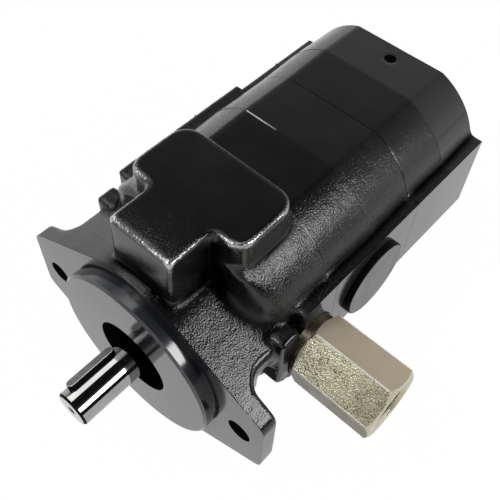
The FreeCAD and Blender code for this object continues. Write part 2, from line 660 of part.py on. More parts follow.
def gear_outline(y):
    """Outline of one gear with its first tooth on +X: involute flanks as arcs, radial feet."""
    pitch_r = MODULE * TEETH / 2.0
    base_r = pitch_r * math.cos(math.radians(PRESSURE_ANGLE))
    half_tooth = math.pi / (2.0 * TEETH) - BACKLASH / (2.0 * pitch_r)
    half_tooth += involute_angle(math.radians(PRESSURE_ANGLE))

    def flank(radius):
        return half_tooth - involute_angle(math.acos(base_r / radius))

    def polar(radius, angle):
        return V(radius * math.cos(angle), y, radius * math.sin(angle))

    edges = []
    pitch = 2.0 * math.pi / TEETH
    middle_r = (base_r + GEAR_TIP_R) / 2.0
    for i in range(TEETH):
        a = i * pitch
        foot = flank(base_r)
        tip = flank(GEAR_TIP_R)
        mid = flank(middle_r)
        edges.append(Part.LineSegment(polar(GEAR_ROOT_R, a - foot), polar(base_r, a - foot)).toShape())
        edges.append(Part.Arc(polar(base_r, a - foot), polar(middle_r, a - mid), polar(GEAR_TIP_R, a - tip)).toShape())
        edges.append(Part.Arc(polar(GEAR_TIP_R, a - tip), polar(GEAR_TIP_R, a), polar(GEAR_TIP_R, a + tip)).toShape())
        edges.append(Part.Arc(polar(GEAR_TIP_R, a + tip), polar(middle_r, a + mid), polar(base_r, a + foot)).toShape())
        edges.append(Part.LineSegment(polar(base_r, a + foot), polar(GEAR_ROOT_R, a + foot)).toShape())
        root = polar(GEAR_ROOT_R, a + pitch / 2.0)
        edges.append(Part.Arc(polar(GEAR_ROOT_R, a + foot), root, polar(GEAR_ROOT_R, a + pitch - foot)).toShape())
    return Part.Wire(edges)


def turned_about(shape, angle, z):
    """Turn a shape about a shaft's axis, positive from +X towards +Z, and lift it to that shaft."""
    shape = shape.copy()
    shape.rotate(V(0, 0, 0), V(0, 1, 0), -angle)
    shape.translate(V(0, 0, z))
    return shape


def key_block(y0, y1, rounded):
    """Square key half sunk in its shaft, standing out along +X, with round or square ends."""
    half = KEY_WIDTH / 2.0
    inner = SHAFT_R - half
    block = box(inner, inner + KEY_WIDTH, y0, y1, -half, half)
    if not rounded:
        return block
    block = box(inner, inner + KEY_WIDTH, y0 + half, y1 - half, -half, half)
    ends = [Part.makeCylinder(half, KEY_WIDTH, V(inner, y, 0), V(1, 0, 0)) for y in (y0 + half, y1 - half)]
    return fuse_all([block] + ends)


TOOTH_TURN = {0: 90.0, 1: 90.0 + 180.0 / TEETH}


def gear_key(stage_y, width, axis):
    y0 = stage_y + GEAR_KEY_MARGIN
    y1 = stage_y + width - GEAR_KEY_MARGIN
    return turned_about(key_block(y0, y1, True), TOOTH_TURN[axis], AXES_Z[axis])


def gear(stage_y, width, axis):
    blank = prism(gear_outline(stage_y), V(0, width, 0))
    blank = turned_about(blank, TOOTH_TURN[axis], AXES_Z[axis])
    blank = blank.cut(rod_y(SHAFT_R, stage_y - 1.0, stage_y + width + 1.0, 0.0, AXES_Z[axis]))
    slot = turned_about(key_block(stage_y - KEY_WIDTH, stage_y + width + KEY_WIDTH, False),
                        TOOTH_TURN[axis], AXES_Z[axis])
    return blank.cut(slot)


def ring_places():
    front = LOW_GEAR_Y - RING_GAP - RING_THICKNESS
    rear = HIGH_GEAR_Y + HIGH_GEAR_WIDTH + RING_GAP
    return (front, rear)


def shaft_rings(axis):
    """Pair of rings that hold both gears endways on a shaft."""
    rings = []
    for y in ring_places():
        ring = rod_y(SHAFT_R + RING_STAND, y, y + RING_THICKNESS, 0.0, AXES_Z[axis])
        rings.append(ring.cut(rod_y(SHAFT_R - RING_DEPTH, y - 1.0, y + RING_THICKNESS + 1.0, 0.0, AXES_Z[axis])))
    return Part.makeCompound(rings)


def cut_shaft(shaft, axis):
    """Ring grooves and gear key seats in a plain shaft."""
    z = AXES_Z[axis]
    for y in ring_places():
        groove = rod_y(SHAFT_R + 1.0, y, y + RING_THICKNESS, 0.0, z)
        shaft = shaft.cut(groove.cut(rod_y(SHAFT_R - RING_DEPTH, y - 1.0, y + RING_THICKNESS + 1.0, 0.0, z)))
    for y, width in ((LOW_GEAR_Y, LOW_GEAR_WIDTH), (HIGH_GEAR_Y, HIGH_GEAR_WIDTH)):
        shaft = shaft.cut(gear_key(y, width, axis))
    return shaft


def output_key():
    y0 = SHAFT_TIP + KEY_FROM_TIP
    return turned_about(key_block(y0, y0 + KEY_LENGTH, True), KEY_ANGLE, 0.0)


def drive_shaft():
    profile = [
        (0.0, SHAFT_TIP),
        (SHAFT_R - SHAFT_CHAMFER, SHAFT_TIP),
        (SHAFT_R, SHAFT_TIP + SHAFT_CHAMFER),
        (SHAFT_R, SHAFT_REAR - SHAFT_CHAMFER),
        (SHAFT_R - SHAFT_CHAMFER, SHAFT_REAR),
        (0.0, SHAFT_REAR),
    ]
    shaft = turned_y(profile)
    drill = turned_y([(0.0, SHAFT_TIP - 0.1), (CENTRE_DRILL_R, SHAFT_TIP - 0.1),
                      (CENTRE_DRILL_R, SHAFT_TIP), (0.0, SHAFT_TIP + CENTRE_DRILL_DEPTH)])
    shaft = shaft.cut(drill)
    shaft = shaft.cut(output_key())
    return cut_shaft(shaft, 0)


def idler_shaft():
    z = AXES_Z[1]
    front = FRONT_BUSH_Y + SHAFT_END_GAP
    profile = [
        (0.0, front),
        (SHAFT_R - SHAFT_CHAMFER, front),
        (SHAFT_R, front + SHAFT_CHAMFER),
        (SHAFT_R, SHAFT_REAR - SHAFT_CHAMFER),
        (SHAFT_R - SHAFT_CHAMFER, SHAFT_REAR),
        (0.0, SHAFT_REAR),
    ]
    return cut_shaft(turned_y(profile, 0.0, z), 1)


# Bushes, wear plates, seals
def bush(y0, length, axis):
    outer = rod_y(BUSH_R, y0, y0 + length, 0.0, AXES_Z[axis])
    return outer.cut(rod_y(SHAFT_R + RUNNING_CLEARANCE, y0 - 1.0, y0 + length + 1.0, 0.0, AXES_Z[axis]))


def wear_plate(y0):
    plate = figure_eight(POCKET_R - PLATE_CLEARANCE, y0, y0 + PLATE_THICKNESS)
    bores = [rod_y(SHAFT_R + PLATE_BORE_CLEARANCE, y0 - 1.0, y0 + PLATE_THICKNESS + 1.0, 0.0, z) for z in AXES_Z]
    return cut_all(plate, bores)


def shaft_seal():
    """Lip seal: a channel-section case with a lip that runs on the shaft."""
    y0 = SHAFT_SEAL_Y
    y1 = y0 + SHAFT_SEAL_LENGTH
    lip_r = SHAFT_R + RUNNING_CLEARANCE
    wall = SEAL_LIP_WALL
    profile = [
        (SEAL_BORE_R, y0),
        (SEAL_BORE_R, y1),
        (SEAL_BORE_R - 2.0 * wall, y1),
        (SEAL_BORE_R - 2.0 * wall, y0 + 2.0 * wall),
        (lip_r + 2.0 * wall, y0 + 2.0 * wall),
        (lip_r + 2.0 * wall, y1 - wall),
        (lip_r + wall, y1 - wall),
        (lip_r, y1 - 2.0 * wall),
        (lip_r + wall, y0 + wall),
        (lip_r + wall, y0),
    ]
    return turned_y(profile)


def seal_snap_ring():
    """Internal ring with a gap and two ears, in its groove in front of the seal."""
    outer = rod_y(SEAL_BORE_R + SEAL_RING_DEPTH, SEAL_RING_Y, SHAFT_SEAL_Y)
    ring = outer.cut(rod_y(SEAL_RING_INNER_R, SEAL_RING_Y - 1.0, SHAFT_SEAL_Y + 1.0))
    gap = box(-1.5, 1.5, SEAL_RING_Y - 1.0, SHAFT_SEAL_Y + 1.0, -SEAL_BORE_R - 2.0, -SEAL_RING_INNER_R + 1.0)
    return ring.cut(gap)


def casting_seal(seam):
    return oval_ring(seam, seam + SEAL_DEPTH)


# Fasteners
def body_bolt(x, z):
    seat = REAR_END - BOLT_HEAD_SINK - BOLT_HEAD_HEIGHT
    top = seat + BOLT_HEAD_HEIGHT
    shank = rod_y(BODY_BOLT_R, FRONT_SEAM - BODY_BOLT_THREAD + 1.0, seat + 0.5, x, z)
    head = turned_y([(0.0, seat), (BOLT_HEAD_R, seat), (BOLT_HEAD_R, top - 0.8), (BOLT_HEAD_R - 0.8, top),
                     (0.0, top)], x, z)
    wire = regular_wire(6, BOLT_SOCKET_FLATS, 0.0, lambda p: V(x + p.x, top, z + p.y))
    socket = prism(wire, V(0, -BOLT_SOCKET_DEPTH, 0))
    return fuse_all([shank, head]).cut(socket)


def body_bolts():
    return Part.makeCompound([body_bolt(x, z) for x, z in BOLT_PLACES])


def dowel_pins():
    pins = []
    for seam in (FRONT_SEAM, REAR_SEAM):
        for x, z in DOWEL_PLACES:
            pins.append(rod_y(DOWEL_R, seam - DOWEL_LENGTH / 2.0, seam + DOWEL_LENGTH / 2.0, x, z))
    return Part.makeCompound(pins)


# Valves
def coil_spring(x, y, z0, z1, coil_r, turns):
    """Compression spring along Z whose end coils lie on its seats."""
    low = z0 + SPRING_WIRE_R
    high = z1 - SPRING_WIRE_R
    pitch = (high - low) / turns
    helix = Part.makeHelix(pitch, high - low, coil_r)
    helix.translate(V(x, y, low))
    wire = Part.Wire(helix.Edges)
    section = Part.Wire(Part.makeCircle(SPRING_WIRE_R, V(x + coil_r, y, low), V(0, 1, 0)))
    return wire.makePipeShell([section], True, True)


def socket_plug(x, radius, spigot_r, spigot_top):
    """Threaded plug flush with the casting's underside, with a spigot above and a hexagon socket below."""
    top = BOTTOM_Z + VALVE_PLUG_LENGTH
    body = rod_z(radius, BOTTOM_Z, top, x, VALVE_Y)
    spigot = rod_z(spigot_r, top - 0.5, spigot_top, x, VALVE_Y)
    wire = regular_wire(6, VALVE_PLUG_FLATS, 0.0, lambda p: V(x + p.x, VALVE_Y + p.y, BOTTOM_Z))
    return fuse_all([body, spigot]).cut(prism(wire, V(0, 0, VALVE_PLUG_SOCKET)))


def unloading_plug():
    return socket_plug(-VALVE_X, SPOOL_BORE_R, SPOOL_STOP_R, SPOOL_BOTTOM)


def unloading_spool():
    land_r = SPOOL_BORE_R - VALVE_CLEARANCE
    top = SPOOL_BOTTOM + SPOOL_LENGTH
    profile = [
        (0.0, SPOOL_BOTTOM),
        (land_r, SPOOL_BOTTOM),
        (land_r, SPOOL_BOTTOM + SPOOL_LAND),
        (SPOOL_WAIST_R, SPOOL_BOTTOM + SPOOL_LAND),
        (SPOOL_WAIST_R, top - SPOOL_LAND),
        (land_r, top - SPOOL_LAND),
        (land_r, top),
        (0.0, top),
    ]
    return turned_z(profile, -VALVE_X, VALVE_Y)


def unloading_spring():
    return coil_spring(-VALVE_X, VALVE_Y, SPOOL_BOTTOM + SPOOL_LENGTH, SPOOL_BORE_TOP, SPOOL_SPRING_R,
                       SPOOL_SPRING_TURNS)


def check_plug():
    return socket_plug(VALVE_X, CHECK_BORE_R, CHECK_SPIGOT_R, CHECK_SPIGOT_TOP)


def check_valve_seat():
    top = CHECK_SEAT_BOTTOM + CHECK_SEAT_LENGTH
    lead = CHECK_BORE_R - CHECK_SEAT_R - 1.0
    profile = [
        (CHECK_SEAT_R + lead, CHECK_SEAT_BOTTOM),
        (CHECK_BORE_R, CHECK_SEAT_BOTTOM),
        (CHECK_BORE_R, top),
        (CHECK_SEAT_R, top),
        (CHECK_SEAT_R, CHECK_SEAT_BOTTOM + lead),
    ]
    return turned_z(profile, VALVE_X, VALVE_Y)


def check_valve_poppet():
    """Guided cup whose cone closes on the seat from below."""
    guide_r = CHECK_BORE_R - VALVE_CLEARANCE
    cone_base = CHECK_SEAT_BOTTOM - CHECK_LIFT_GAP
    bottom = cone_base - POPPET_SKIRT
    rim = CHECK_BORE_R - 1.0 - CHECK_LIFT_GAP
    cone_top = cone_base + rim - CHECK_SEAT_R + 1.0
    cup_r = guide_r - POPPET_WALL
    profile = [
        (0.0, bottom + 2.0 * POPPET_WALL),
        (cup_r, bottom + 2.0 * POPPET_WALL),
        (cup_r, bottom),
        (guide_r, bottom),
        (guide_r, cone_base - 1.0),
        (rim, cone_base),
        (CHECK_SEAT_R - 1.0, cone_top),
        (0.0, cone_top),
    ]
    return turned_z(profile, VALVE_X, VALVE_Y)


def check_valve_spring():
    bottom = BOTTOM_Z + VALVE_PLUG_LENGTH
    top = CHECK_SEAT_BOTTOM - CHECK_LIFT_GAP - POPPET_SKIRT + 2.0 * POPPET_WALL
    return coil_spring(VALVE_X, VALVE_Y, bottom, top, CHECK_SPRING_R, CHECK_SPRING_TURNS)


# Port fittings on the right side
def suction_cap():
    """Screw-in cap over the suction port: a thin round head over a hollow plug."""
    face = PAD_X + CAP_THICKNESS
    inner = PAD_X - CAP_PLUG_LENGTH
    hollow = SUCTION_THREAD_R - CAP_WALL
    profile = [
        (0.0, face),
        (CAP_R - CAP_EDGE, face),
        (CAP_R, face - CAP_EDGE),
        (CAP_R, PAD_X),
        (SUCTION_THREAD_R, PAD_X),
        (SUCTION_THREAD_R, inner),
        (hollow, inner),
        (hollow, PAD_X - CAP_WALL),
        (0.0, PAD_X - CAP_WALL),
    ]
    return turned_x(profile, SUCTION_Y, SUCTION_Z)


def outlet_adapter():
    """Hexagon adapter: round collar, chamfered hexagon, threaded stem and an open threaded port."""
    def at(point):
        return V(HEX_START, OUTLET_Y + point.x, OUTLET_Z + point.y)

    block = prism(regular_wire(6, HEX_FLATS, HEX_TURN, at), V(HEX_LENGTH, 0, 0))
    corner_r = HEX_FLATS / 2.0 / math.cos(math.pi / 6.0)
    crown_r = HEX_FLATS / 2.0 - 0.2
    envelope = turned_x([
        (0.0, HEX_START),
        (crown_r, HEX_START),
        (corner_r + 0.1, HEX_START + HEX_CHAMFER),
        (corner_r + 0.1, HEX_END - HEX_CHAMFER),
        (crown_r, HEX_END),
        (0.0, HEX_END),
    ], OUTLET_Y, OUTLET_Z)
    block = block.common(envelope)
    collar = rod_x(COLLAR_R, PAD_X, HEX_START + 0.5, OUTLET_Y, OUTLET_Z)
    stem = rod_x(OUTLET_THREAD_R, PAD_X - OUTLET_THREAD_DEPTH + 1.0, PAD_X + 0.5, OUTLET_Y, OUTLET_Z)
    bore = turned_x([
        (0.0, PAD_X - OUTLET_THREAD_DEPTH),
        (ADAPTER_BORE_R, PAD_X - OUTLET_THREAD_DEPTH),
        (ADAPTER_BORE_R, HEX_END - ADAPTER_PORT_DEPTH),
        (ADAPTER_PORT_R, HEX_END - ADAPTER_PORT_DEPTH),
        (ADAPTER_PORT_R, HEX_END - ADAPTER_PORT_CHAMFER),
        (ADAPTER_PORT_R + ADAPTER_PORT_CHAMFER, HEX_END),
        (0.0, HEX_END),
    ], OUTLET_Y, OUTLET_Z)
    return fuse_all([block, collar, stem]).cut(bore)


NODES = {
    "front_housing": front_housing,
    "middle_housing": middle_housing,
    "rear_housing": rear_housing,
    "drive_shaft": drive_shaft,
    "idler_shaft": idler_shaft,
    "drive_shaft_key": output_key,
    "low_stage_drive_gear": lambda: gear(LOW_GEAR_Y, LOW_GEAR_WIDTH, 0),
    "low_stage_idler_gear": lambda: gear(LOW_GEAR_Y, LOW_GEAR_WIDTH, 1),
    "high_stage_drive_gear": lambda: gear(HIGH_GEAR_Y, HIGH_GEAR_WIDTH, 0),
    "high_stage_idler_gear": lambda: gear(HIGH_GEAR_Y, HIGH_GEAR_WIDTH, 1),
    "low_stage_drive_gear_key": lambda: gear_key(LOW_GEAR_Y, LOW_GEAR_WIDTH, 0),
    "low_stage_idler_gear_key": lambda: gear_key(LOW_GEAR_Y, LOW_GEAR_WIDTH, 1),
    "high_stage_drive_gear_key": lambda: gear_key(HIGH_GEAR_Y, HIGH_GEAR_WIDTH, 0),
    "high_stage_idler_gear_key": lambda: gear_key(HIGH_GEAR_Y, HIGH_GEAR_WIDTH, 1),
    "drive_shaft_rings": lambda: shaft_rings(0),
    "idler_shaft_rings": lambda: shaft_rings(1),
    "front_drive_bush": lambda: bush(FRONT_BUSH_Y, FRONT_BUSH_LENGTH, 0),
    "front_idler_bush": lambda: bush(FRONT_BUSH_Y, FRONT_BUSH_LENGTH, 1),
    "middle_drive_bush": lambda: bush(MIDDLE_BUSH_Y, MIDDLE_BUSH_LENGTH, 0),
    "middle_idler_bush": lambda: bush(MIDDLE_BUSH_Y, MIDDLE_BUSH_LENGTH, 1),
    "rear_drive_bush": lambda: bush(REAR_BUSH_Y, REAR_BUSH_LENGTH, 0),
    "rear_idler_bush": lambda: bush(REAR_BUSH_Y, REAR_BUSH_LENGTH, 1),
    "low_stage_front_wear_plate": lambda: wear_plate(FRONT_SEAM),
    "low_stage_rear_wear_plate": lambda: wear_plate(LOW_GEAR_Y + LOW_GEAR_WIDTH + SIDE_CLEARANCE),
    "high_stage_front_wear_plate": lambda: wear_plate(REAR_SEAM),
    "high_stage_rear_wear_plate": lambda: wear_plate(HIGH_GEAR_Y + HIGH_GEAR_WIDTH + SIDE_CLEARANCE),
    "shaft_seal": shaft_seal,
    "seal_snap_ring": seal_snap_ring,
    "front_casting_seal": lambda: casting_seal(FRONT_SEAM),
    "rear_casting_seal": lambda: casting_seal(REAR_SEAM),
    "body_bolts": body_bolts,
    "dowel_pins": dowel_pins,
    "unloading_spool": unloading_spool,
    "unloading_spring": unloading_spring,
    "unloading_valve_plug": unloading_plug,
    "check_valve_seat": check_valve_seat,
    "check_valve_poppet": check_valve_poppet,
    "check_valve_spring": check_valve_spring,
    "check_valve_plug": check_plug,
    "suction_port_cap": suction_cap,
    "outlet_adapter": outlet_adapter,
}


def main():
    os.makedirs("parts", exist_ok=True)
    for name, make in NODES.items():
        shape = make()
        shape.exportStep("parts/" + name + ".step")
        state = "ok" if shape.isValid() else "NOT VALID"
        print(name, len(shape.Solids), round(shape.Volume, 1), state)


main()
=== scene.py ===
import bpy
import bmesh
import json
import math
import numpy as np
from bpy.props import FloatProperty, FloatVectorProperty, IntProperty, PointerProperty
from mathutils import Matrix, Vector, noise

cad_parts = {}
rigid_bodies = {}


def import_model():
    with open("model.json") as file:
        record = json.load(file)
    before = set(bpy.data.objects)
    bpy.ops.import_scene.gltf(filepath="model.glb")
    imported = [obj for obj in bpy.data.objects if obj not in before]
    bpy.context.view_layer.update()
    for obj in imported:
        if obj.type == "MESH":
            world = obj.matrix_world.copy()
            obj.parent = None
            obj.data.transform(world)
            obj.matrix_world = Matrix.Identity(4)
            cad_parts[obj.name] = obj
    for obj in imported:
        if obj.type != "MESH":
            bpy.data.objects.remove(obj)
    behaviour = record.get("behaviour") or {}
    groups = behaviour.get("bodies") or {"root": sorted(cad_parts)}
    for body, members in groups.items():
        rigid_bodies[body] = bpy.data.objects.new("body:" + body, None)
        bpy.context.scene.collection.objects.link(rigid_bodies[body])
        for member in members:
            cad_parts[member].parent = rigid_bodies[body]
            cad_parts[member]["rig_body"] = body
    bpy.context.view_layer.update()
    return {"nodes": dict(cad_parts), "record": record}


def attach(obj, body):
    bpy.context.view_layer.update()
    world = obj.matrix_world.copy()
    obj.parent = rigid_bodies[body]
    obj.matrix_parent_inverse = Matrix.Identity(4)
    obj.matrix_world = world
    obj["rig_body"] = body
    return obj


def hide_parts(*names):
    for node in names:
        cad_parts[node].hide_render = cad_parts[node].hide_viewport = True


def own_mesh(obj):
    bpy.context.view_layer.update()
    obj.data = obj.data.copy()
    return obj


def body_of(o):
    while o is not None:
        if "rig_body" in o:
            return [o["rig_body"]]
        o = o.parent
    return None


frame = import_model()

bl_info = {
    "name": "Two-stage hydraulic pump",
    "version": (1, 0, 0),
    "blender": (4, 5, 0),
    "location": "3D View > Sidebar > Pump",
    "description": "Builds the visual model of a two-stage hydraulic gear pump over its CAD frame",
    "category": "Object",
}

MM = 0.001
SIDES = 96
COLOUR = {"size": 3, "subtype": 'COLOR', "min": 0.0, "max": 1.0}


# Sizes and colours that a user would change
class PumpCastingSettings(bpy.types.PropertyGroup):
    voxel: FloatProperty(
        name="Skin resolution", description="Edge length of the cast skin's mesh",
        default=0.0008, min=0.0005, unit='LENGTH')
    edge_passes: IntProperty(
        name="Edge passes", description="Smoothing passes that round the cast edges",
        default=1, min=0)
    fillet_passes: IntProperty(
        name="Fillet passes", description="Smoothing passes that fill the cast corners",
        default=12, min=0)
    soft_passes: IntProperty(
        name="Soft passes",
        description="Smoothing passes on the nose's corner, which runs softly into the neck",
        default=120, min=0)
    corner_passes: IntProperty(
        name="Corner passes",
        description="Smoothing passes of the level that a corner's depth is measured from",
        default=90, min=0)
    waviness: FloatProperty(
        name="Waviness", description="Height of the slow unevenness of the cast skin",
        default=0.00012, min=0.0, unit='LENGTH')
    skin_colour: FloatVectorProperty(
        name="Skin colour", description="Colour of the blackened cast skin",
        default=(0.007, 0.007, 0.0066), **COLOUR)
    rear_colour: FloatVectorProperty(
        name="Rear skin colour", description="Lighter colour of the smooth skin at the pump's rear end",
        default=(0.021, 0.021, 0.021), **COLOUR)
    # Painted shade: deep corners get this colour and lose their gloss, where shade falls
    corner_shade_colour: FloatVectorProperty(
        name="Corner colour", description="Colour of the burnt iron deep in the corners, which shines little",
        default=(0.001, 0.001, 0.001), **COLOUR)
    # Rubbed edges: partly wear that bares the iron, partly painted highlight
    rub_highlight_colour: FloatVectorProperty(
        name="Rubbed edge colour", description="Colour where the cast skin is rubbed bright along its edges",
        default=(0.5, 0.5, 0.49), **COLOUR)
    machined_colour: FloatVectorProperty(
        name="Machined colour", description="Colour of the blackened faces that are milled or turned",
        default=(0.018, 0.0203, 0.024), **COLOUR)


class PumpMetalSettings(bpy.types.PropertyGroup):
    steel_colour: FloatVectorProperty(
        name="Ground steel colour", description="Colour of the shafts and valve pieces",
        default=(0.39, 0.388, 0.38), **COLOUR)
    key_colour: FloatVectorProperty(
        name="Key steel colour", description="Colour of the keys",
        default=(0.2, 0.2, 0.2), **COLOUR)
    gear_colour: FloatVectorProperty(
        name="Gear steel colour", description="Colour of the hardened gears",
        default=(0.5, 0.49, 0.47), **COLOUR)
    bolt_colour: FloatVectorProperty(
        name="Bolt colour", description="Colour of the blackened bolts and plugs",
        default=(0.05, 0.05, 0.055), **COLOUR)
    bronze_colour: FloatVectorProperty(
        name="Bronze colour", description="Colour of the bushes and wear plates",
        default=(0.6, 0.42, 0.2), **COLOUR)
    zinc_colour: FloatVectorProperty(
        name="Zinc colour", description="Colour of the adapter's pale yellow plating",
        default=(0.68, 0.575, 0.43), **COLOUR)
    rubber_colour: FloatVectorProperty(
        name="Rubber colour", description="Colour of the seals",
        default=(0.012, 0.012, 0.012), **COLOUR)
    cap_colour: FloatVectorProperty(
        name="Cap colour", description="Colour of the suction port's cap",
        default=(0.02, 0.02, 0.02), **COLOUR)


class PumpStageSettings(bpy.types.PropertyGroup):
    floor_tilt: FloatProperty(
        name="Floor tilt",
        description="Tilt of the floor under the pump, which stands on its flange and its rear edge",
        default=math.radians(6.925), subtype='ANGLE')
    floor_shine: FloatProperty(
        name="Floor in the gloss",
        description="Share of the white floor that the pump's gloss shows on its left",
        default=0.75, min=0.0, max=1.0)
    key_power: FloatProperty(
        name="Key light", description="Power of the large softbox, in watts",
        default=4.5, min=0.0)
    top_power: FloatProperty(
        name="Top light", description="Power of the faint softbox above on the left, in watts",
        default=1.6, min=0.0)
    rear_power: FloatProperty(
        name="Rear light", description="Power of the low softbox behind on the right, in watts",
        default=0.2, min=0.0)
    side_power: FloatProperty(
        name="Side light", description="Power of the softbox on the left, in watts",
        default=0.22, min=0.0)
    front_power: FloatProperty(
        name="Front light", description="Power of the small softbox in front, in watts",
        default=1.7, min=0.0)
    world_level: FloatProperty(
        name="World level", description="Brightness of the light from all round the pump",
        default=0.3, min=0.0)
    ceiling_level: FloatProperty(
        name="Ceiling level", description="Brightness of the studio's ceiling as the gloss shows it",
        default=0.015, min=0.0)


# Places on the pump, in millimetres and degrees; a bore's centre leaves out the axis that it lies along
AXIS_INDEX = {"x": 0, "y": 1, "z": 2}
SEAM_1 = 58.1
SEAM_2 = 112.5
REAR_END = 162.0
MIDDLE_MOULD_JOINT = (SEAM_1 + SEAM_2) / 2.0
REAR_MOULD_JOINT = (SEAM_2 + REAR_END) / 2.0
PAD_SIDE = 50.5
LEFT_PAD_SIDE = 53.5
REAR_LEFT_PAD_SIDE = 50.0
PAD_CUT_Z = (-8.0, 38.0)
PAD_HALF_HEIGHT = 20.0
HALF_HEIGHT = 43.3
MIDDLE_Z = 15.0
SHOULDER_R = 36.0
SHOULDER_X = 10.5
SHOULDER_RISE = 9.5
IDLER_Z = 30.0
SHAFT = (0.0, 0.0)
SHAFTS = [SHAFT, (0.0, IDLER_Z)]
BOLTS = [(-30.0, -9.0), (30.0, -9.0), (-30.0, 39.0), (30.0, 39.0)]
DOWELS = [(-38.0, 1.0), (38.0, 29.0)]
EAR_HOLES = [(-53.2, 0.0), (53.2, 0.0)]
LOW_WAY = (-26.0, 4.0)
HIGH_WAY = (-26.0, 24.0)
OUTLET = (42.7, 11.1)
TOP_HOLE = (1.0, 153.4)
BEARING_R = 10.3775
GEAR_R = 18.1
HEX_START = 54.1
HEX_END = 91.8
HEX_FLATS = 28.6
HEX_TURN = 41.4
PILOT_PROFILE = [(0.0, -6.35), (40.275, -6.35), (41.275, -5.35), (41.275, -1.6), (40.075, -1.6),
                 (40.075, 4.0), (0.0, 4.0)]


def bores_at(centres, radius, low, high, ends):
    return [("y", centre, radius, low, high, ends) for centre in centres]


# Castings: the ends along Y, where the machined right pad starts, and the bores as (axis, centre,
# radius, low end, high end, ends that are open); spot faces only cut, and fill nothing in the rough
CASTINGS = {
    "front_housing": {
        "ends": (0.0, SEAM_1),
        "pad_start": 38.0,
        "sandiness": 1.0,
        "bores": [
            ("y", SHAFT, 18.1, -6.35, 19.65, "low"),
            ("y", SHAFT, 19.1, 10.25, 11.65, ""),
            ("y", SHAFT, 9.4375, 19.0, 41.1, ""),
            *bores_at(SHAFTS, BEARING_R, 40.1, SEAM_1, "high"),
            *bores_at([HIGH_WAY, LOW_WAY], 4.5, 33.0, SEAM_1, "high"),
            ("z", (-18.0, 33.0), 6.0, -28.3, 63.0, "low"),
            ("z", (18.0, 33.0), 6.5, -28.3, 43.0, "low"),
            ("x", (33.0, 38.0), 3.5, -18.0, 18.0, ""),
            ("x", (33.0, -14.0), 3.5, -18.0, 18.0, ""),
            ("x", OUTLET, 10.6, 36.5, PAD_SIDE, "high"),
            ("x", OUTLET, 7.0, 18.0, 40.0, ""),
            *bores_at(EAR_HOLES, 5.55, 0.0, 8.0, "low high"),
            *bores_at(BOLTS, 5.0, 42.1, SEAM_1, "high"),
            *bores_at(DOWELS, 3.0, 52.1, SEAM_1, "high"),
        ],
        "spot_faces": [
            *bores_at(EAR_HOLES, 12.0, 7.6, 24.7, ""),
            ("x", OUTLET, 14.5, PAD_SIDE, 53.5, ""),
        ],
        "turned": [PILOT_PROFILE],
    },
    "middle_housing": {
        "ends": (SEAM_1, SEAM_2),
        "pad_start": SEAM_1,
        "sandiness": 0.85,
        "bores": [
            *bores_at(SHAFTS, GEAR_R, SEAM_1, 96.2, "low"),
            *bores_at(SHAFTS, BEARING_R, 95.0, SEAM_2, "high"),
            ("y", LOW_WAY, 4.5, SEAM_1, SEAM_2, "low high"),
            ("y", HIGH_WAY, 4.5, SEAM_1, 77.15, "low"),
            ("x", (77.15, 19.5), 4.5, -26.0, 0.0, ""),
            ("x", (84.7, 12.0), 15.4, 35.5, PAD_SIDE, "high"),
            ("x", (83.7, 12.0), 12.0, 0.0, 40.0, ""),
            ("y", (26.0, 15.0), 6.0, 84.7, SEAM_2, "high"),
            *bores_at(BOLTS, 5.5, SEAM_1, SEAM_2, "low high"),
            *bores_at(DOWELS, 3.0, SEAM_1, SEAM_1 + 6.0, "low"),
            *bores_at(DOWELS, 3.0, SEAM_2 - 6.0, SEAM_2, "high"),
        ],
    },
    "rear_housing": {
        "ends": (SEAM_2, REAR_END),
        "pad_start": SEAM_2,
        "sandiness": 0.6,
        "bores": [
            *bores_at(SHAFTS, GEAR_R, SEAM_2, 130.6, "low"),
            *bores_at(SHAFTS, BEARING_R, 130.0, 149.6, ""),
            ("y", LOW_WAY, 4.5, SEAM_2, 121.55, "low"),
            ("x", (121.55, 8.5), 4.5, -26.0, 0.0, ""),
            ("y", (26.0, 15.0), 6.0, SEAM_2, 121.55, "low"),
            ("x", (121.55, 15.0), 4.5, 0.0, 26.0, ""),
            ("z", TOP_HOLE, 2.75, 49.7, 57.7, "high"),
            *bores_at(BOLTS, 5.5, SEAM_2, 153.0, "low"),
            *bores_at(BOLTS, 8.75, 152.0, REAR_END, "high"),
            *bores_at(DOWELS, 3.0, SEAM_2, SEAM_2 + 6.0, "low"),
        ],
    },
}

# How the rough castings are made and machined, with lengths in millimetres
STOCK = 3.0
STOCK_OVERRUN = 0.1
CORE_WALL = 1.3
PLUG_SHORTFALL = 0.6
DRILL_RUN_OUT = 4.0
MILL_REACH = 90.0
PILOT_SIDES = 192
GROOVE_OUTER_R = 22.5
GROOVE_INNER_R = 20.1
GROOVE_DEPTH = 1.6
GAP_HALF_WIDTH = 0.09
GAP_DEPTH = 0.95

# Tolerances on the CAD meshes, in metres
SAME_POINT = 0.000002
ON_PLANE = 0.00002

# Soft corner of the nose, as (axis, low end, high end, width of its border), in millimetres
SOFT_CORNER = ((0, 21.0, 47.0, 6.0), (1, 16.0, 41.0, 6.0), (2, 27.0, 53.0, 5.0))

# Regions of the cast skin, in metres
LEVEL_TOPS_FROM = 0.05
BOSS_FOOT = 0.042
BOSS_SIDE = 0.0305
BOSS_REAR = 0.058
NECK_REAR = 0.034
NECK_TOP = 0.052
NECK_BORDER = 0.006
JOINT_BORDER = 0.0003

# Gain and threshold of how sharp an edge counts as rubbed and highlighted, and how deep a corner counts as
# dark with painted shade
RUB_HIGHLIGHT_GAIN = 14.0
RUB_HIGHLIGHT_START = 0.25
CORNER_GAIN = 1.4
CORNER_START = 0.1

# Where edges are rubbed and highlighted more upwards and less backwards, as (start, width), in millimetres
RUB_HIGHLIGHT_RISE = (59.0, 5.0)
RUB_HIGHLIGHT_FADE = (46.0, 8.0)

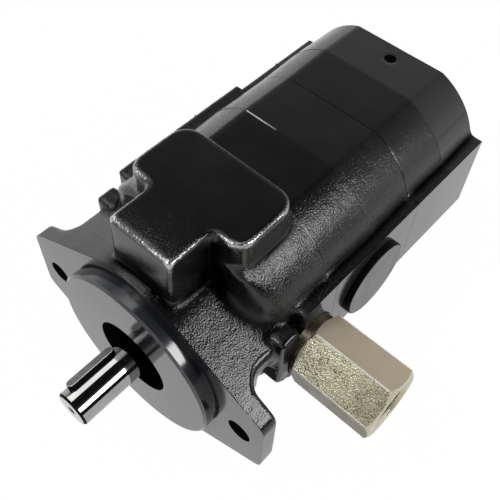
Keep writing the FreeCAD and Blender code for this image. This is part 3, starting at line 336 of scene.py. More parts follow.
# CAD pieces in sight and the width of their broken edges, in millimetres
BROKEN_EDGES = {
    "drive_shaft": 0.15,
    "drive_shaft_key": 0.35,
    "seal_snap_ring": 0.1,
    "outlet_adapter": 0.6,
    "suction_port_cap": 0.3,
    "body_bolts": 0.3,
    "unloading_valve_plug": 0.25,
    "check_valve_plug": 0.25,
}

# Springs: the joint that squeezes each, the height of its fixed end, its length and the joint's
# travel, in millimetres
SPRINGS = {
    "unloading_spring": ("unloading_spool_slide", 63.0, 15.0, 5.0),
    "check_valve_spring": ("check_poppet_slide", -18.3, 40.3, 4.0),
}

# Threads: place, turn, radius, length, pitch and tooth, in millimetres and degrees, and the finish
THREADS = {
    "outlet_thread": ((75.6, *OUTLET), (0.0, 90.0, 0.0), 9.0, 14.7, 1.4, 0.5, "zinc_plate_look"),
    "top_hole_thread": ((*TOP_HOLE, 50.5), (0.0, 0.0, 0.0), 2.75, 6.4, 1.0, 0.3, "oiled_bore_look"),
}
KNURL = {"Count": 44, "Radius": 7.95 * MM, "Length": 6.4 * MM, "Ridge": 0.28 * MM}
KNURL_Y = 157.2

# Mould flash, worn arrises and a bright flash sliver that paints the joint's highlight: thickness in
# millimetres, unevenness, seed and finish
FLASH = {
    "middle_mould_flash": (0.16, 0.25, 3.0, "flash_skin_look"),
    "rear_mould_flash": (0.16, 0.25, 8.0, "flash_skin_look"),
    "ear_root_flash": (0.38, 0.25, 12.0, "flash_skin_look"),
    "adapter_arrises": (0.6, 0.93, 2.0, "bare_zinc_edge_look"),
    "bright_flash_sliver": (0.34, 0.5, 5.0, "flash_bright_look"),
}
FLASH_DEPTH = 0.02
EAR_ROOT = [(47.1, 22.1, 27.4), (46.7, 19.2, 27.6), (46.7, 17.0, 27.6), (47.2, 13.2, 27.4),
            (48.8, 10.4, 26.5), (51.0, 7.9, 25.2), (53.8, 6.1, 23.7)]
# Bright sliver on top along the middle mould joint: flash of bare iron, which also paints the joint's
# highlight
SLIVER = [(-22.4 + 1.6 * i, MIDDLE_MOULD_JOINT, 58.33) for i in range(11)]
ARRIS_INSET = 0.6
ARRIS_MARGIN = 2.0

# Directions of the adapter's two flats that the light brings out
FRONT_FLAT = (0.0, -0.66, 0.75)
UPPER_FLAT = (0.0, 0.32, 0.95)

# Softboxes: place, target, width and height in metres, and the setting that holds the power
SOFTBOXES = {
    "key_softbox": ((0.741, 0.258, 0.54), (0.093, -0.102, 0.036), 0.43, 0.38, "key_power"),
    "top_softbox": ((-0.38, 0.0, 0.72), (0.0, 0.06, 0.0), 0.46, 0.5, "top_power"),
    "rear_softbox": ((0.665, 0.436, 0.36), (0.0, 0.06, 0.0), 0.3, 0.25, "rear_power"),
    "side_softbox": ((-0.72, 0.42, 0.1), (0.0, 0.06, 0.0), 0.35, 0.35, "side_power"),
    "front_softbox": ((-0.246, -0.397, 0.69), (0.0, 0.06, 0.0), 0.28, 0.2, "front_power"),
}
FLOOR_SIZE = 1.5
FLOOR_HEIGHT = -0.04803

# Camera of the photograph's view, fitted to the flange, the shaft and the body
CAMERA_PLACE = (0.12060977, -0.07970772, 0.26770798)
CAMERA_RIGHT = (0.74060574, 0.67129901, 0.02933886)
CAMERA_UP = (-0.56003433, 0.59254857, 0.57900582)
CAMERA_BACK = (0.37130133, -0.4452458, 0.81479537)


# Meshes and objects
def link(name, mesh):
    item = bpy.data.objects.new(name, mesh)
    bpy.context.scene.collection.objects.link(item)
    return item


def discard(items):
    for item in items:
        mesh = item.data
        bpy.data.objects.remove(item)
        bpy.data.meshes.remove(mesh)


def evaluated_mesh(item):
    graph = bpy.context.evaluated_depsgraph_get()
    return bpy.data.meshes.new_from_object(item.evaluated_get(graph))


def apply_modifiers(item):
    mesh = evaluated_mesh(item)
    old = item.data
    item.modifiers.clear()
    item.data = mesh
    bpy.data.meshes.remove(old)


def mesh_from(bm, name):
    bmesh.ops.recalc_face_normals(bm, faces=bm.faces)
    mesh = bpy.data.meshes.new(name)
    bm.to_mesh(mesh)
    bm.free()
    return mesh


def rod(axis, centre, radius, low, high):
    """Closed cylinder along a frame axis; centre holds its place on the two other axes."""
    bm = bmesh.new()
    turns = {"x": ('Y', 90.0), "y": ('X', 90.0), "z": ('Z', 0.0)}
    about, angle = turns[axis]
    places = list(centre)
    places.insert(AXIS_INDEX[axis], (low + high) / 2.0)
    place = Matrix.Translation(Vector(places) * MM) @ Matrix.Rotation(math.radians(angle), 4, about)
    bmesh.ops.create_cone(bm, cap_ends=True, segments=SIDES, radius1=radius * MM, radius2=radius * MM,
                          depth=(high - low) * MM, matrix=place)
    return mesh_from(bm, "rod")


def block(x0, x1, y0, y1, z0, z1):
    bm = bmesh.new()
    middle = Vector(((x0 + x1) / 2.0, (y0 + y1) / 2.0, (z0 + z1) / 2.0)) * MM
    size = Matrix.Diagonal((abs(x1 - x0) * MM, abs(y1 - y0) * MM, abs(z1 - z0) * MM, 1.0))
    bmesh.ops.create_cube(bm, size=1.0, matrix=Matrix.Translation(middle) @ size)
    return mesh_from(bm, "block")


def turned(profile, sides):
    """Solid turned about Y from (radius, along) points in millimetres, the first and last at radius zero."""
    bm = bmesh.new()
    rings = []
    for radius, along in profile:
        ring = []
        for i in range(sides if radius > 0.0 else 1):
            angle = 2.0 * math.pi * i / sides
            spot = Vector((radius * math.cos(angle), along, radius * math.sin(angle)))
            ring.append(bm.verts.new(spot * MM))
        rings.append(ring)
    for first, second in zip(rings, rings[1:]):
        for i in range(sides):
            j = (i + 1) % sides
            corners = [first[i % len(first)], first[j % len(first)]]
            corners += [second[j % len(second)], second[i % len(second)]]
            corners = list(dict.fromkeys(corners))
            if len(corners) > 2:
                bm.faces.new(corners)
    return mesh_from(bm, "turned")


def combine(target, tools, operation):
    """Runs solid operations on target with each tool in order, then discards the tools."""
    for tool in tools:
        step = target.modifiers.new("solid", 'BOOLEAN')
        step.object = tool
        step.operation = operation
        step.solver = 'MANIFOLD'
    apply_modifiers(target)
    discard(tools)


# Cast skin
def plug_reach(end, ends, axis):
    """How far a bore's plug runs past its end: through the stock, or short of the skin along Z."""
    if end not in ends:
        return CORE_WALL
    return -PLUG_SHORTFALL if axis == "z" else STOCK + STOCK_OVERRUN


def sand_core_solid(node, spec):
    """The casting's CAD mesh with its bores filled and stock left on its machined faces."""
    bm = bmesh.new()
    bm.from_mesh(frame["nodes"][node].data)
    bmesh.ops.remove_doubles(bm, verts=bm.verts, dist=SAME_POINT)
    for vert in bm.verts:
        for place, side in zip(spec["ends"], (-1, 1)):
            if abs(vert.co.y - place * MM) < ON_PLANE:
                vert.co.y += side * STOCK * MM
        if abs(vert.co.x - PAD_SIDE * MM) < ON_PLANE:
            vert.co.x += STOCK * MM
    for axis, centre, radius, low, high, ends in spec["bores"]:
        low -= plug_reach("low", ends, axis)
        high += plug_reach("high", ends, axis)
        plug = rod(axis, centre, radius + CORE_WALL, low, high)
        bm.from_mesh(plug)
        bpy.data.meshes.remove(plug)
    mesh = bpy.data.meshes.new(node + "_rough")
    bm.to_mesh(mesh)
    bm.free()
    return mesh


def point_array(mesh):
    spots = np.empty(len(mesh.vertices) * 3)
    mesh.vertices.foreach_get("co", spots)
    return spots.reshape(-1, 3)


def normal_array(mesh):
    normals = np.empty(len(mesh.vertices) * 3, dtype=np.float32)
    mesh.vertex_normals.foreach_get("vector", normals)
    return normals.reshape(-1, 3).astype(float)


def soft_share(spots):
    """One on the right corner of the nose, where the casting runs softly into the neck, else zero."""
    share = np.ones(len(spots))
    for axis, low, high, margin in SOFT_CORNER:
        place = spots[:, axis] / MM
        share *= np.clip((place - low) / margin, 0.0, 1.0) * np.clip((high - place) / margin, 0.0, 1.0)
    return share


def relax_skin(mesh, settings):
    """Rounds the skin's edges a little and fills its corners more, as sand casting does.

    Gives the points, their normals, how sharp an edge each is on, and how deep in a corner it is.
    """
    spots = point_array(mesh)
    count = len(spots)
    ends = np.empty(len(mesh.edges) * 2, dtype=np.int32)
    mesh.edges.foreach_get("vertices", ends)
    first, second = ends.reshape(-1, 2).T
    degree = np.bincount(first, minlength=count) + np.bincount(second, minlength=count)

    def pull(values):
        total = np.empty_like(values)
        for i in range(3):
            total[:, i] = np.bincount(first, values[second, i], count)
            total[:, i] += np.bincount(second, values[first, i], count)
        return total / degree[:, None] - values

    for _ in range(settings.edge_passes):
        spots += pull(spots) * 0.5
    for turn in range(settings.fillet_passes):
        if turn % 10 == 0:
            mesh.vertices.foreach_set("co", spots.ravel())
            mesh.update()
            normals = normal_array(mesh)
        lift = (pull(spots) * normals).sum(1)
        spots += normals * np.clip(lift, 0.0, None)[:, None] * 0.8
    spots += pull(spots) * 0.5
    soft = soft_share(spots)
    if soft.any():
        for _ in range(settings.soft_passes):
            spots += pull(spots) * 0.5 * soft[:, None]
    mesh.vertices.foreach_set("co", spots.ravel())
    mesh.update()
    normals = normal_array(mesh)
    bend = -(pull(spots) * normals).sum(1) / settings.voxel
    for _ in range(2):
        wide = np.bincount(first, bend[second], count) + np.bincount(second, bend[first], count)
        bend = (wide / degree + bend) / 2.0
    level = spots.copy()
    for _ in range(settings.corner_passes):
        level += pull(level) * 0.5
    lift = ((level - spots) * normals).sum(1) / MM
    rub = np.clip(bend * RUB_HIGHLIGHT_GAIN - RUB_HIGHLIGHT_START, 0.0, 1.0)
    return spots, normals, rub, np.clip(lift * CORNER_GAIN - CORNER_START, 0.0, 1.0)


def grain_strength(spots, normals, sandiness):
    """How sandy the skin is: less on level tops, the boss's walls, the neck and the smooth rear."""
    level = np.clip((normals[:, 2] - 0.95) / 0.035, 0.0, 1.0) * (spots[:, 2] > LEVEL_TOPS_FROM)
    strength = sandiness * (1.0 - 0.7 * level)
    boss_wall = (spots[:, 2] > BOSS_FOOT) & (np.abs(spots[:, 0]) < BOSS_SIDE) & (spots[:, 1] < BOSS_REAR)
    strength = np.where(boss_wall & (normals[:, 2] < 0.55), strength * 0.25, strength)
    neck = np.clip((NECK_REAR - spots[:, 1]) / NECK_BORDER, 0.0, 1.0) * (spots[:, 2] < NECK_TOP)
    strength = strength * (1.0 - 0.4 * neck)
    rear = np.clip((spots[:, 1] - REAR_MOULD_JOINT * MM) / JOINT_BORDER, 0.0, 1.0)
    return strength * (1.0 - 0.8 * rear)


def tone_along(spots):
    """Share of the lighter skin, which grows at each joint towards the rear."""
    steps = [(MIDDLE_MOULD_JOINT, 0.06), (SEAM_2, 0.2), (REAR_MOULD_JOINT, 0.74)]
    return sum(share * np.clip((spots[:, 1] - place * MM) / JOINT_BORDER, 0.0, 1.0) for place, share in steps)


def roughen_skin(mesh, spots, normals, height, grain):
    for i, spot in enumerate(spots):
        place = Vector(spot)
        lift = 0.6 * noise.noise(place * 90.0) + grain[i] * 0.6 * noise.noise(place * 380.0)
        spots[i] += normals[i] * height * lift
    mesh.vertices.foreach_set("co", spots.ravel())


def store_attribute(mesh, name, values):
    layer = mesh.attributes.new(name, 'FLOAT', 'POINT')
    layer.data.foreach_set("value", values.astype(np.float32))


def machined_groove(seam):
    """Ring groove for the casting seal, straight at its sides."""
    def oval(radius, low, high):
        ends = [link("core", rod("y", (0.0, z), radius, low, high)) for z in (0.0, IDLER_Z)]
        return ends + [link("core", block(-radius, radius, low, high, 0.0, IDLER_Z))]
    outer = oval(GROOVE_OUTER_R, seam - 1.0, seam + GROOVE_DEPTH)
    inner = oval(GROOVE_INNER_R, seam - 2.0, seam + (GROOVE_DEPTH + 1.0))
    ring = outer[0]
    combine(ring, outer[1:], 'UNION')
    combine(ring, inner, 'DIFFERENCE')
    return ring


def section_points(shrink, pad_left):
    """Outline of the body's section in (x, z) millimetres, anticlockwise from the right pad's top corner."""
    radius = SHOULDER_R - shrink
    rise = HALF_HEIGHT - shrink
    ledge = PAD_HALF_HEIGHT - shrink
    high = math.asin((rise - SHOULDER_RISE) / radius)
    low = math.asin((ledge - SHOULDER_RISE) / radius)
    arc = [low + (high - low) * i / 10.0 for i in range(11)]
    quarter = [(PAD_SIDE - shrink, ledge)]
    quarter += [(SHOULDER_X + radius * math.cos(a), SHOULDER_RISE + radius * math.sin(a)) for a in arc]
    left = [(-x, z) for x, z in reversed(quarter[1:])] + [(-(pad_left - shrink), ledge)]
    upper = quarter + left
    lower = [(x, -z) for x, z in reversed(upper)]
    return [(x, MIDDLE_Z + z) for x, z in upper + lower]


def prism_y(points, low, high):
    """Closed prism along Y from (x, z) points in millimetres."""
    bm = bmesh.new()
    near = [bm.verts.new(Vector((x, low, z)) * MM) for x, z in points]
    far = [bm.verts.new(Vector((x, high, z)) * MM) for x, z in points]
    bm.faces.new(near)
    bm.faces.new(far[::-1])
    for i in range(len(points)):
        j = (i + 1) % len(points)
        bm.faces.new([near[i], far[i], far[j], near[j]])
    bmesh.ops.triangulate(bm, faces=[f for f in bm.faces if len(f.verts) > 4])
    return mesh_from(bm, "prism")


def seam_gap(seam):
    """Hairline gap that runs round the body where two castings meet."""
    low, high = seam - GAP_HALF_WIDTH, seam + GAP_HALF_WIDTH
    gap = link("gap", block(-MILL_REACH, MILL_REACH, low, high, -70.0, 100.0))
    pad_left = LEFT_PAD_SIDE if seam == SEAM_1 else REAR_LEFT_PAD_SIDE
    core = link("core", prism_y(section_points(GAP_DEPTH, pad_left), seam - 1.0, seam + 1.0))
    combine(gap, [core], 'DIFFERENCE')
    return gap


def machine(piece, tools, finishes, index, operation='DIFFERENCE'):
    """Works on the piece with the tools, whose finish stays on the faces that they leave."""
    for tool in tools:
        own_finish(tool, finishes, index)
    combine(piece, tools, operation)


def machine_casting(piece, spec, finishes):
    """Mills the ends and the right pad, turns the pilot, drills the bores and parts the castings."""
    start, end = spec["ends"]
    far = MILL_REACH
    machine(piece, [
        link("mill", block(-far, far, start - far, start, -far, far)),
        link("mill", block(-far, far, end, end + far, -far, far)),
        link("mill", block(PAD_SIDE, far, spec["pad_start"], end + 1.0, *PAD_CUT_Z)),
    ], finishes, 1)
    for profile in spec.get("turned", []):
        machine(piece, [link("pilot", turned(profile, PILOT_SIDES))], finishes, 1, 'UNION')
    drills = []
    for axis, centre, radius, low, high, ends in spec["bores"] + spec.get("spot_faces", []):
        low -= DRILL_RUN_OUT if "low" in ends else 0.0
        high += DRILL_RUN_OUT if "high" in ends else 0.0
        drills.append(link("drill", rod(axis, centre, radius, low, high)))
    seams = [place for place in spec["ends"] if place in (SEAM_1, SEAM_2)]
    drills += [machined_groove(seam) for seam in seams if seam == start]
    drills += [seam_gap(seam) for seam in seams]
    machine(piece, drills, finishes, 2)


def own_finish(item, finishes, index):
    item.data.materials.clear()
    for finish in finishes:
        item.data.materials.append(finish)
    item.data.polygons.foreach_set("material_index", [index] * len(item.data.polygons))


def cast_piece(node, finishes):
    settings = bpy.context.scene.pump_castings
    spec = CASTINGS[node]
    piece = link(node + "_casting", sand_core_solid(node, spec))
    skin = piece.modifiers.new("skin", 'REMESH')
    skin.mode = 'VOXEL'
    skin.voxel_size = settings.voxel * 1.0
    skin.adaptivity = 0.0
    apply_modifiers(piece)
    spots, normals, rub, corner = relax_skin(piece.data, settings)
    grain = grain_strength(spots, normals, spec["sandiness"])
    roughen_skin(piece.data, spots, normals, settings.waviness, grain)
    # Partly wear, partly painted highlight: the rubbed edges weigh more upwards and less towards the rear
    high = np.clip((spots[:, 2] / MM - RUB_HIGHLIGHT_RISE[0]) / RUB_HIGHLIGHT_RISE[1], 0.0, 1.0)
    rear = np.clip((spots[:, 1] / MM - RUB_HIGHLIGHT_FADE[0]) / RUB_HIGHLIGHT_FADE[1], 0.0, 1.0)
    store_attribute(piece.data, "rub", rub * (0.35 + 0.8 * high) * (1.0 - 0.4 * rear))
    # Painted shade: the corner depth makes the skin black and without gloss there
    store_attribute(piece.data, "corner", corner)
    store_attribute(piece.data, "grain", grain)
    store_attribute(piece.data, "tone", tone_along(spots))
    own_finish(piece, finishes, 0)
    machine_casting(piece, spec, finishes)
    piece.data.shade_smooth()
    piece.data.set_sharp_from_angle(angle=math.radians(38.0))
    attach(piece, "housing")
    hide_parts(node)


def material_slots():
    return {entry["node"]: entry["material_slot"] for entry in frame["record"]["subparts"]}


def ride_as(piece, node):
    """The piece stands for a CAD node: it rides the node's body, and the node is hidden."""
    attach(piece, body_of(frame["nodes"][node])[0])
    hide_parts(node)


def broken_edges(node, width, finishes):
    """The CAD piece with whole flat faces and broken sharp edges, which have the second finish."""
    bm = bmesh.new()
    bm.from_mesh(frame["nodes"][node].data)
    bmesh.ops.remove_doubles(bm, verts=bm.verts, dist=SAME_POINT)
    bmesh.ops.dissolve_limit(bm, angle_limit=math.radians(1.0), verts=bm.verts, edges=bm.edges)
    piece = link(node + "_piece", mesh_from(bm, node))
    own_finish(piece, finishes, 0)
    edge = piece.modifiers.new("edge", 'BEVEL')
    edge.width = width * MM
    edge.segments = 2
    edge.limit_method = 'ANGLE'
    edge.angle_limit = math.radians(30.0)
    edge.material = 1
    apply_modifiers(piece)
    piece.data.shade_smooth()
    piece.data.set_sharp_from_angle(angle=math.radians(50.0))
    even = piece.modifiers.new("even", 'WEIGHTED_NORMAL')
    even.keep_sharp = True
    apply_modifiers(piece)
    return piece


# Node trees
def fill(tree, item, inputs):
    """Links or sets the inputs of a node, by name or number."""
    for key, value in inputs.items():
        if isinstance(value, bpy.types.NodeSocket):
            tree.links.new(value, item.inputs[key])
        else:
            item.inputs[key].default_value = value


def put(tree, kind, inputs, **settings):
    """Adds a node and gives its outputs."""
    item = tree.nodes.new(kind)
    for key, value in settings.items():
        setattr(item, key, value)
    fill(tree, item, inputs)
    return item.outputs


def calc(tree, operation, first, second):
    return put(tree, "ShaderNodeMath", {0: first, 1: second}, operation=operation)[0]


def ranged(tree, value, low, high, new_low, new_high):
    return put(tree, "ShaderNodeMapRange", {
        "Value": value, "From Min": low, "From Max": high, "To Min": new_low, "To Max": new_high})["Result"]


def node_group(name, kind, inputs, outputs):
    """A new group with named inputs as (name, kind, default) and outputs as (name, kind)."""
    tree = bpy.data.node_groups.new(name, kind)
    for label, socket_kind, value in inputs:
        socket = tree.interface.new_socket(label, in_out='INPUT', socket_type="NodeSocket" + socket_kind)
        if value is not None:
            socket.default_value = value
    for label, socket_kind in outputs:
        tree.interface.new_socket(label, in_out='OUTPUT', socket_type="NodeSocket" + socket_kind)
    return tree, tree.nodes.new("NodeGroupInput").outputs, tree.nodes.new("NodeGroupOutput").inputs


# Pieces grown by node groups
def geometry_group(name, inputs):
    inputs = inputs + [("Finish", "Material", None)]
    return node_group(name, 'GeometryNodeTree', inputs, [("Geometry", "Geometry")])


def close_group(tree, shape, finish, out):
    whole = put(tree, "GeometryNodeRealizeInstances", {0: shape})[0]
    painted = put(tree, "GeometryNodeSetMaterial", {"Geometry": whole, "Material": finish})[0]
    tree.links.new(painted, out[0])
    return tree


def tube(tree, line, sides, radius):
    section = put(tree, "GeometryNodeCurvePrimitiveCircle", {"Resolution": sides, "Radius": radius})["Curve"]
    return put(tree, "GeometryNodeCurveToMesh", {
        "Curve": line, "Profile Curve": section, "Fill Caps": True})[0]


def thread_group():
    """Helical thread ridge along its own Z, turned and moved to its place."""
    tree, given, out = geometry_group("Screw thread", [
        ("Radius", "Float", 0.003),
        ("Length", "Float", 0.01),
        ("Turns", "Float", 10.0),
        ("Tooth", "Float", 0.0004),
        ("Place", "Vector", None),
        ("Turn", "Vector", None),
    ])
    helix = put(tree, "GeometryNodeCurveSpiral", {
        "Resolution": 40, "Rotations": given["Turns"], "Start Radius": given["Radius"],
        "End Radius": given["Radius"], "Height": given["Length"]})[0]
    placed = put(tree, "GeometryNodeTransform", {
        "Geometry": tube(tree, helix, 4, given["Tooth"]), "Translation": given["Place"],
        "Rotation": given["Turn"]})[0]
    return close_group(tree, placed, given["Finish"], out)


def knurl_group():
    """Ring of straight knurl ridges round each point of the given mesh, with their axis along Y."""
    tree, given, out = geometry_group("Knurl", [
        ("Centres", "Geometry", None),
        ("Count", "Int", 40),
        ("Radius", "Float", 0.008),
        ("Length", "Float", 0.007),
        ("Ridge", "Float", 0.0003),
    ])
    ring = put(tree, "GeometryNodeMeshCircle", {"Vertices": given["Count"], "Radius": given["Radius"]})[0]
    ridge = put(tree, "GeometryNodeMeshCylinder", {
        "Vertices": 6, "Radius": given["Ridge"], "Depth": given["Length"]})["Mesh"]
    knurl = put(tree, "GeometryNodeInstanceOnPoints", {"Points": ring, "Instance": ridge})[0]
    heads = put(tree, "GeometryNodeInstanceOnPoints", {"Points": given["Centres"], "Instance": knurl})[0]
    upright = put(tree, "GeometryNodeRotateInstances", {
        "Instances": heads, "Rotation": (math.radians(90.0), 0.0, 0.0)})[0]
    return close_group(tree, upright, given["Finish"], out)


def flash_group():
    """Thin uneven ridge of iron along a path, as the mould's joint leaves it."""
    tree, given, out = geometry_group("Mould flash", [
        ("Path", "Geometry", None),
        ("Thickness", "Float", 0.0002),
        ("Unevenness", "Float", 0.5),
        ("Seed", "Float", 1.0),
    ])
    line = put(tree, "GeometryNodeMeshToCurve", {"Mesh": given["Path"]})[0]
    fine = put(tree, "GeometryNodeResampleCurve", {"Curve": line, "Length": 0.0005}, mode='LENGTH')[0]
    uneven = put(tree, "ShaderNodeTexNoise", {
        "W": given["Seed"], "Scale": 260.0, "Detail": 2.0}, noise_dimensions='4D')[0]
    width = ranged(tree, uneven, 0.35, 0.6, given["Unevenness"], 1.0)
    shaped = put(tree, "GeometryNodeSetCurveRadius", {"Curve": fine, "Radius": width})[0]
    return close_group(tree, tube(tree, shaped, 6, given["Thickness"]), given["Finish"], out)


def path_mesh(points, edges, name="path"):
    mesh = bpy.data.meshes.new(name)
    mesh.from_pydata([Vector(point) * MM for point in points], edges, [])
    return mesh


def chain(points):
    return path_mesh(points, [(i, i + 1) for i in range(len(points) - 1)])


def mould_line(place, pad_left):
    """Path round the body's section, just under its skin."""
    return chain([(x, place, z) for x, z in section_points(FLASH_DEPTH, pad_left)])


def arris_mesh():
    """Lines just inside the adapter hexagon's six corners, where the worn arrises go."""
    reach = HEX_FLATS / 2.0 / math.cos(math.pi / 6.0) - ARRIS_INSET
    spots = []
    for i in range(6):
        angle = math.radians(HEX_TURN + 60.0 * i)
        y, z = OUTLET[0] + reach * math.cos(angle), OUTLET[1] + reach * math.sin(angle)
        spots += [(HEX_START + ARRIS_MARGIN, y, z), (HEX_END - ARRIS_MARGIN, y, z)]
    return path_mesh(spots, [(2 * i, 2 * i + 1) for i in range(6)], "arrises")


def grow(name, group, values, mesh=None):
    """A piece that a node group makes from its named inputs, as one plain mesh."""
    piece = link(name, mesh or bpy.data.meshes.new(name))
    step = piece.modifiers.new("grow", 'NODES')
    step.node_group = group
    for socket in group.interface.items_tree:
        if socket.in_out == 'INPUT' and socket.name in values:
            step[socket.identifier] = values[socket.name]
    apply_modifiers(piece)
    piece.data.shade_smooth()
    piece.data.set_sharp_from_angle(angle=math.radians(40.0))
    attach(piece, "housing")


# Finishes
def grain_group():
    """Height and mask of sand-cast grain."""
    found = bpy.data.node_groups.get("Cast grain")
    if found:
        return found
    tree, given, out = node_group("Cast grain", 'ShaderNodeTree', [
        ("Vector", "Vector", None),
        ("Grain Scale", "Float", 900.0),
        ("Patch Scale", "Float", 60.0),
        ("Patchiness", "Float", 0.5),
    ], [("Height", "Float"), ("Mask", "Float")])
    fine = put(tree, "ShaderNodeTexNoise", {
        "Vector": given["Vector"], "Scale": given["Grain Scale"], "Detail": 1.5, "Roughness": 0.5})["Fac"]
    patches = put(tree, "ShaderNodeTexNoise", {
        "Vector": given["Vector"], "Scale": given["Patch Scale"], "Detail": 3.0})["Fac"]
    mask = ranged(tree, patches, 0.35, 0.65, 0.0, 1.0)
    rest = calc(tree, 'SUBTRACT', 1.0, calc(tree, 'MULTIPLY', mask, given["Patchiness"]))
    tree.links.new(calc(tree, 'MULTIPLY', fine, rest), out["Height"])
    tree.links.new(mask, out["Mask"])
    return tree


def turning_group():
    """Height of fine turned rings about an axis along Y, and stains."""
    found = bpy.data.node_groups.get("Turned rings")
    if found:
        return found
    tree, given, out = node_group("Turned rings", 'ShaderNodeTree', [
        ("Vector", "Vector", None),
        ("Rings Per Metre", "Float", 2500.0),
    ], [("Height", "Float"), ("Stain", "Float")])
    parts = put(tree, "ShaderNodeSeparateXYZ", {0: given["Vector"]})
    flat = put(tree, "ShaderNodeCombineXYZ", {"X": parts["X"], "Z": parts["Z"]})[0]
    radius = put(tree, "ShaderNodeVectorMath", {0: flat}, operation='LENGTH')["Value"]
    along = put(tree, "ShaderNodeCombineXYZ", {
        "X": calc(tree, 'MULTIPLY', radius, given["Rings Per Metre"])})[0]
    rings = put(tree, "ShaderNodeTexNoise", {"Vector": along, "Scale": 1.0, "Detail": 2.0})["Fac"]
    stain = put(tree, "ShaderNodeTexNoise", {"Vector": given["Vector"], "Scale": 55.0, "Detail": 4.0})["Fac"]
    tree.links.new(rings, out["Height"])
    tree.links.new(stain, out["Stain"])
    return tree


def grained(tree, where, scale, patches):
    return put(tree, "ShaderNodeGroup", {
        "Vector": where, "Grain Scale": scale, "Patch Scale": patches, "Patchiness": 0.3,
    }, node_tree=grain_group())


def ringed(tree, where, density):
    return put(tree, "ShaderNodeGroup", {
        "Vector": where, "Rings Per Metre": density}, node_tree=turning_group())


def attribute(tree, name):
    return put(tree, "ShaderNodeAttribute", {}, attribute_name=name)["Fac"]


def mixed(tree, factor, first, second):
    """Mixes two colours, given as sockets or as tuples of three."""
    first, second = [(*colour, 1.0) if isinstance(colour, tuple) else colour for colour in (first, second)]
    return put(tree, "ShaderNodeMix", {0: factor, 6: first, 7: second}, data_type='RGBA')[2]


def bumped(tree, height, strength, distance):
    return put(tree, "ShaderNodeBump", {
        "Strength": strength, "Distance": distance, "Height": height})["Normal"]


def scaled(colour, share):
    return tuple(level * share for level in colour)


def new_finish(name):
    """Material of its own name, so that it is never one of the frame's plain materials."""
    finish = bpy.data.materials.new(name + "_look")
    finish.use_nodes = True
    tree = finish.node_tree
    return finish, tree, put(tree, "ShaderNodeTexCoord", {})["Object"]


def painted(finish, inputs):
    fill(finish.node_tree, finish.node_tree.nodes["Principled BSDF"], inputs)
    return finish


def cast_skin_finish():
    """Black sand-cast skin: bare iron on rubbed edges, which also paints their highlight; painted shade deep
    in corners, black and without gloss; lighter at the rear.
    """
    finish, tree, where = new_finish("cast_skin")
    colours = bpy.context.scene.pump_castings
    skin = tuple(colours.skin_colour)
    grain = grained(tree, where, 1550.0, 60.0)
    corner = attribute(tree, "corner")
    broken = calc(tree, 'MULTIPLY', attribute(tree, "rub"), grain["Height"])
    bright = ranged(tree, broken, 0.22, 0.45, 0.0, 1.0)
    base = mixed(tree, grain["Mask"], skin, scaled(skin, 0.6))
    base = mixed(tree, attribute(tree, "tone"), base, tuple(colours.rear_colour))
    base = mixed(tree, corner, base, tuple(colours.corner_shade_colour))
    height = calc(tree, 'MULTIPLY', grain["Height"], attribute(tree, "grain"))
    return painted(finish, {
        "Base Color": mixed(tree, bright, base, tuple(colours.rub_highlight_colour)),
        "Metallic": calc(tree, 'MAXIMUM', bright, corner),
        "Roughness": ranged(tree, grain["Mask"], 0.0, 1.0, 0.09, 0.14),
        "Normal": bumped(tree, height, 1.0, 0.00024),
    })


def machined_iron_finish():
    """Blackened iron with fine turned rings and slight stains."""
    finish, tree, where = new_finish("machined_iron")
    colour = tuple(bpy.context.scene.pump_castings.machined_colour)
    rings = ringed(tree, where, 2200.0)
    stain = ranged(tree, rings["Stain"], 0.4, 0.65, 0.0, 1.0)
    return painted(finish, {
        "Base Color": mixed(tree, stain, colour, scaled(colour, 0.88)),
        "Roughness": ranged(tree, rings["Stain"], 0.3, 0.7, 0.11, 0.17),
        "Specular IOR Level": 0.9,
        "Normal": bumped(tree, rings["Height"], 0.12, 0.0001),
    })


def oil_and_shade_finish():
    """Dark oiled iron, nearly black and with little gloss, inside holes and seams; it also paints shade there
    and on the sides of small parts.
    """
    finish, tree, where = new_finish("oiled_bore")
    rings = ringed(tree, where, 1500.0)
    return painted(finish, {
        "Base Color": mixed(tree, rings["Stain"], (0.003, 0.003, 0.003), (0.006, 0.006, 0.006)),
        "Roughness": ranged(tree, rings["Stain"], 0.3, 0.7, 0.4, 0.5),
        "Specular IOR Level": 0.03,
        "Normal": bumped(tree, rings["Height"], 0.2, 0.0001),
    })


def plain_finish(name, colour, metallic, roughness, scale=400.0, depth=0.2, patches=120.0, shade=0.85,
                 spread=1.25):
    """Metal, plastic or rubber with slight stains and fine marks."""
    finish, tree, where = new_finish(name)
    grain = grained(tree, where, scale, patches)
    return painted(finish, {
        "Base Color": mixed(tree, grain["Mask"], tuple(colour), scaled(colour, shade)),
        "Metallic": metallic,
        "Roughness": ranged(tree, grain["Mask"], 0.0, 1.0, roughness, roughness * spread),
        "Normal": bumped(tree, grain["Height"], depth, 0.0001),
    })


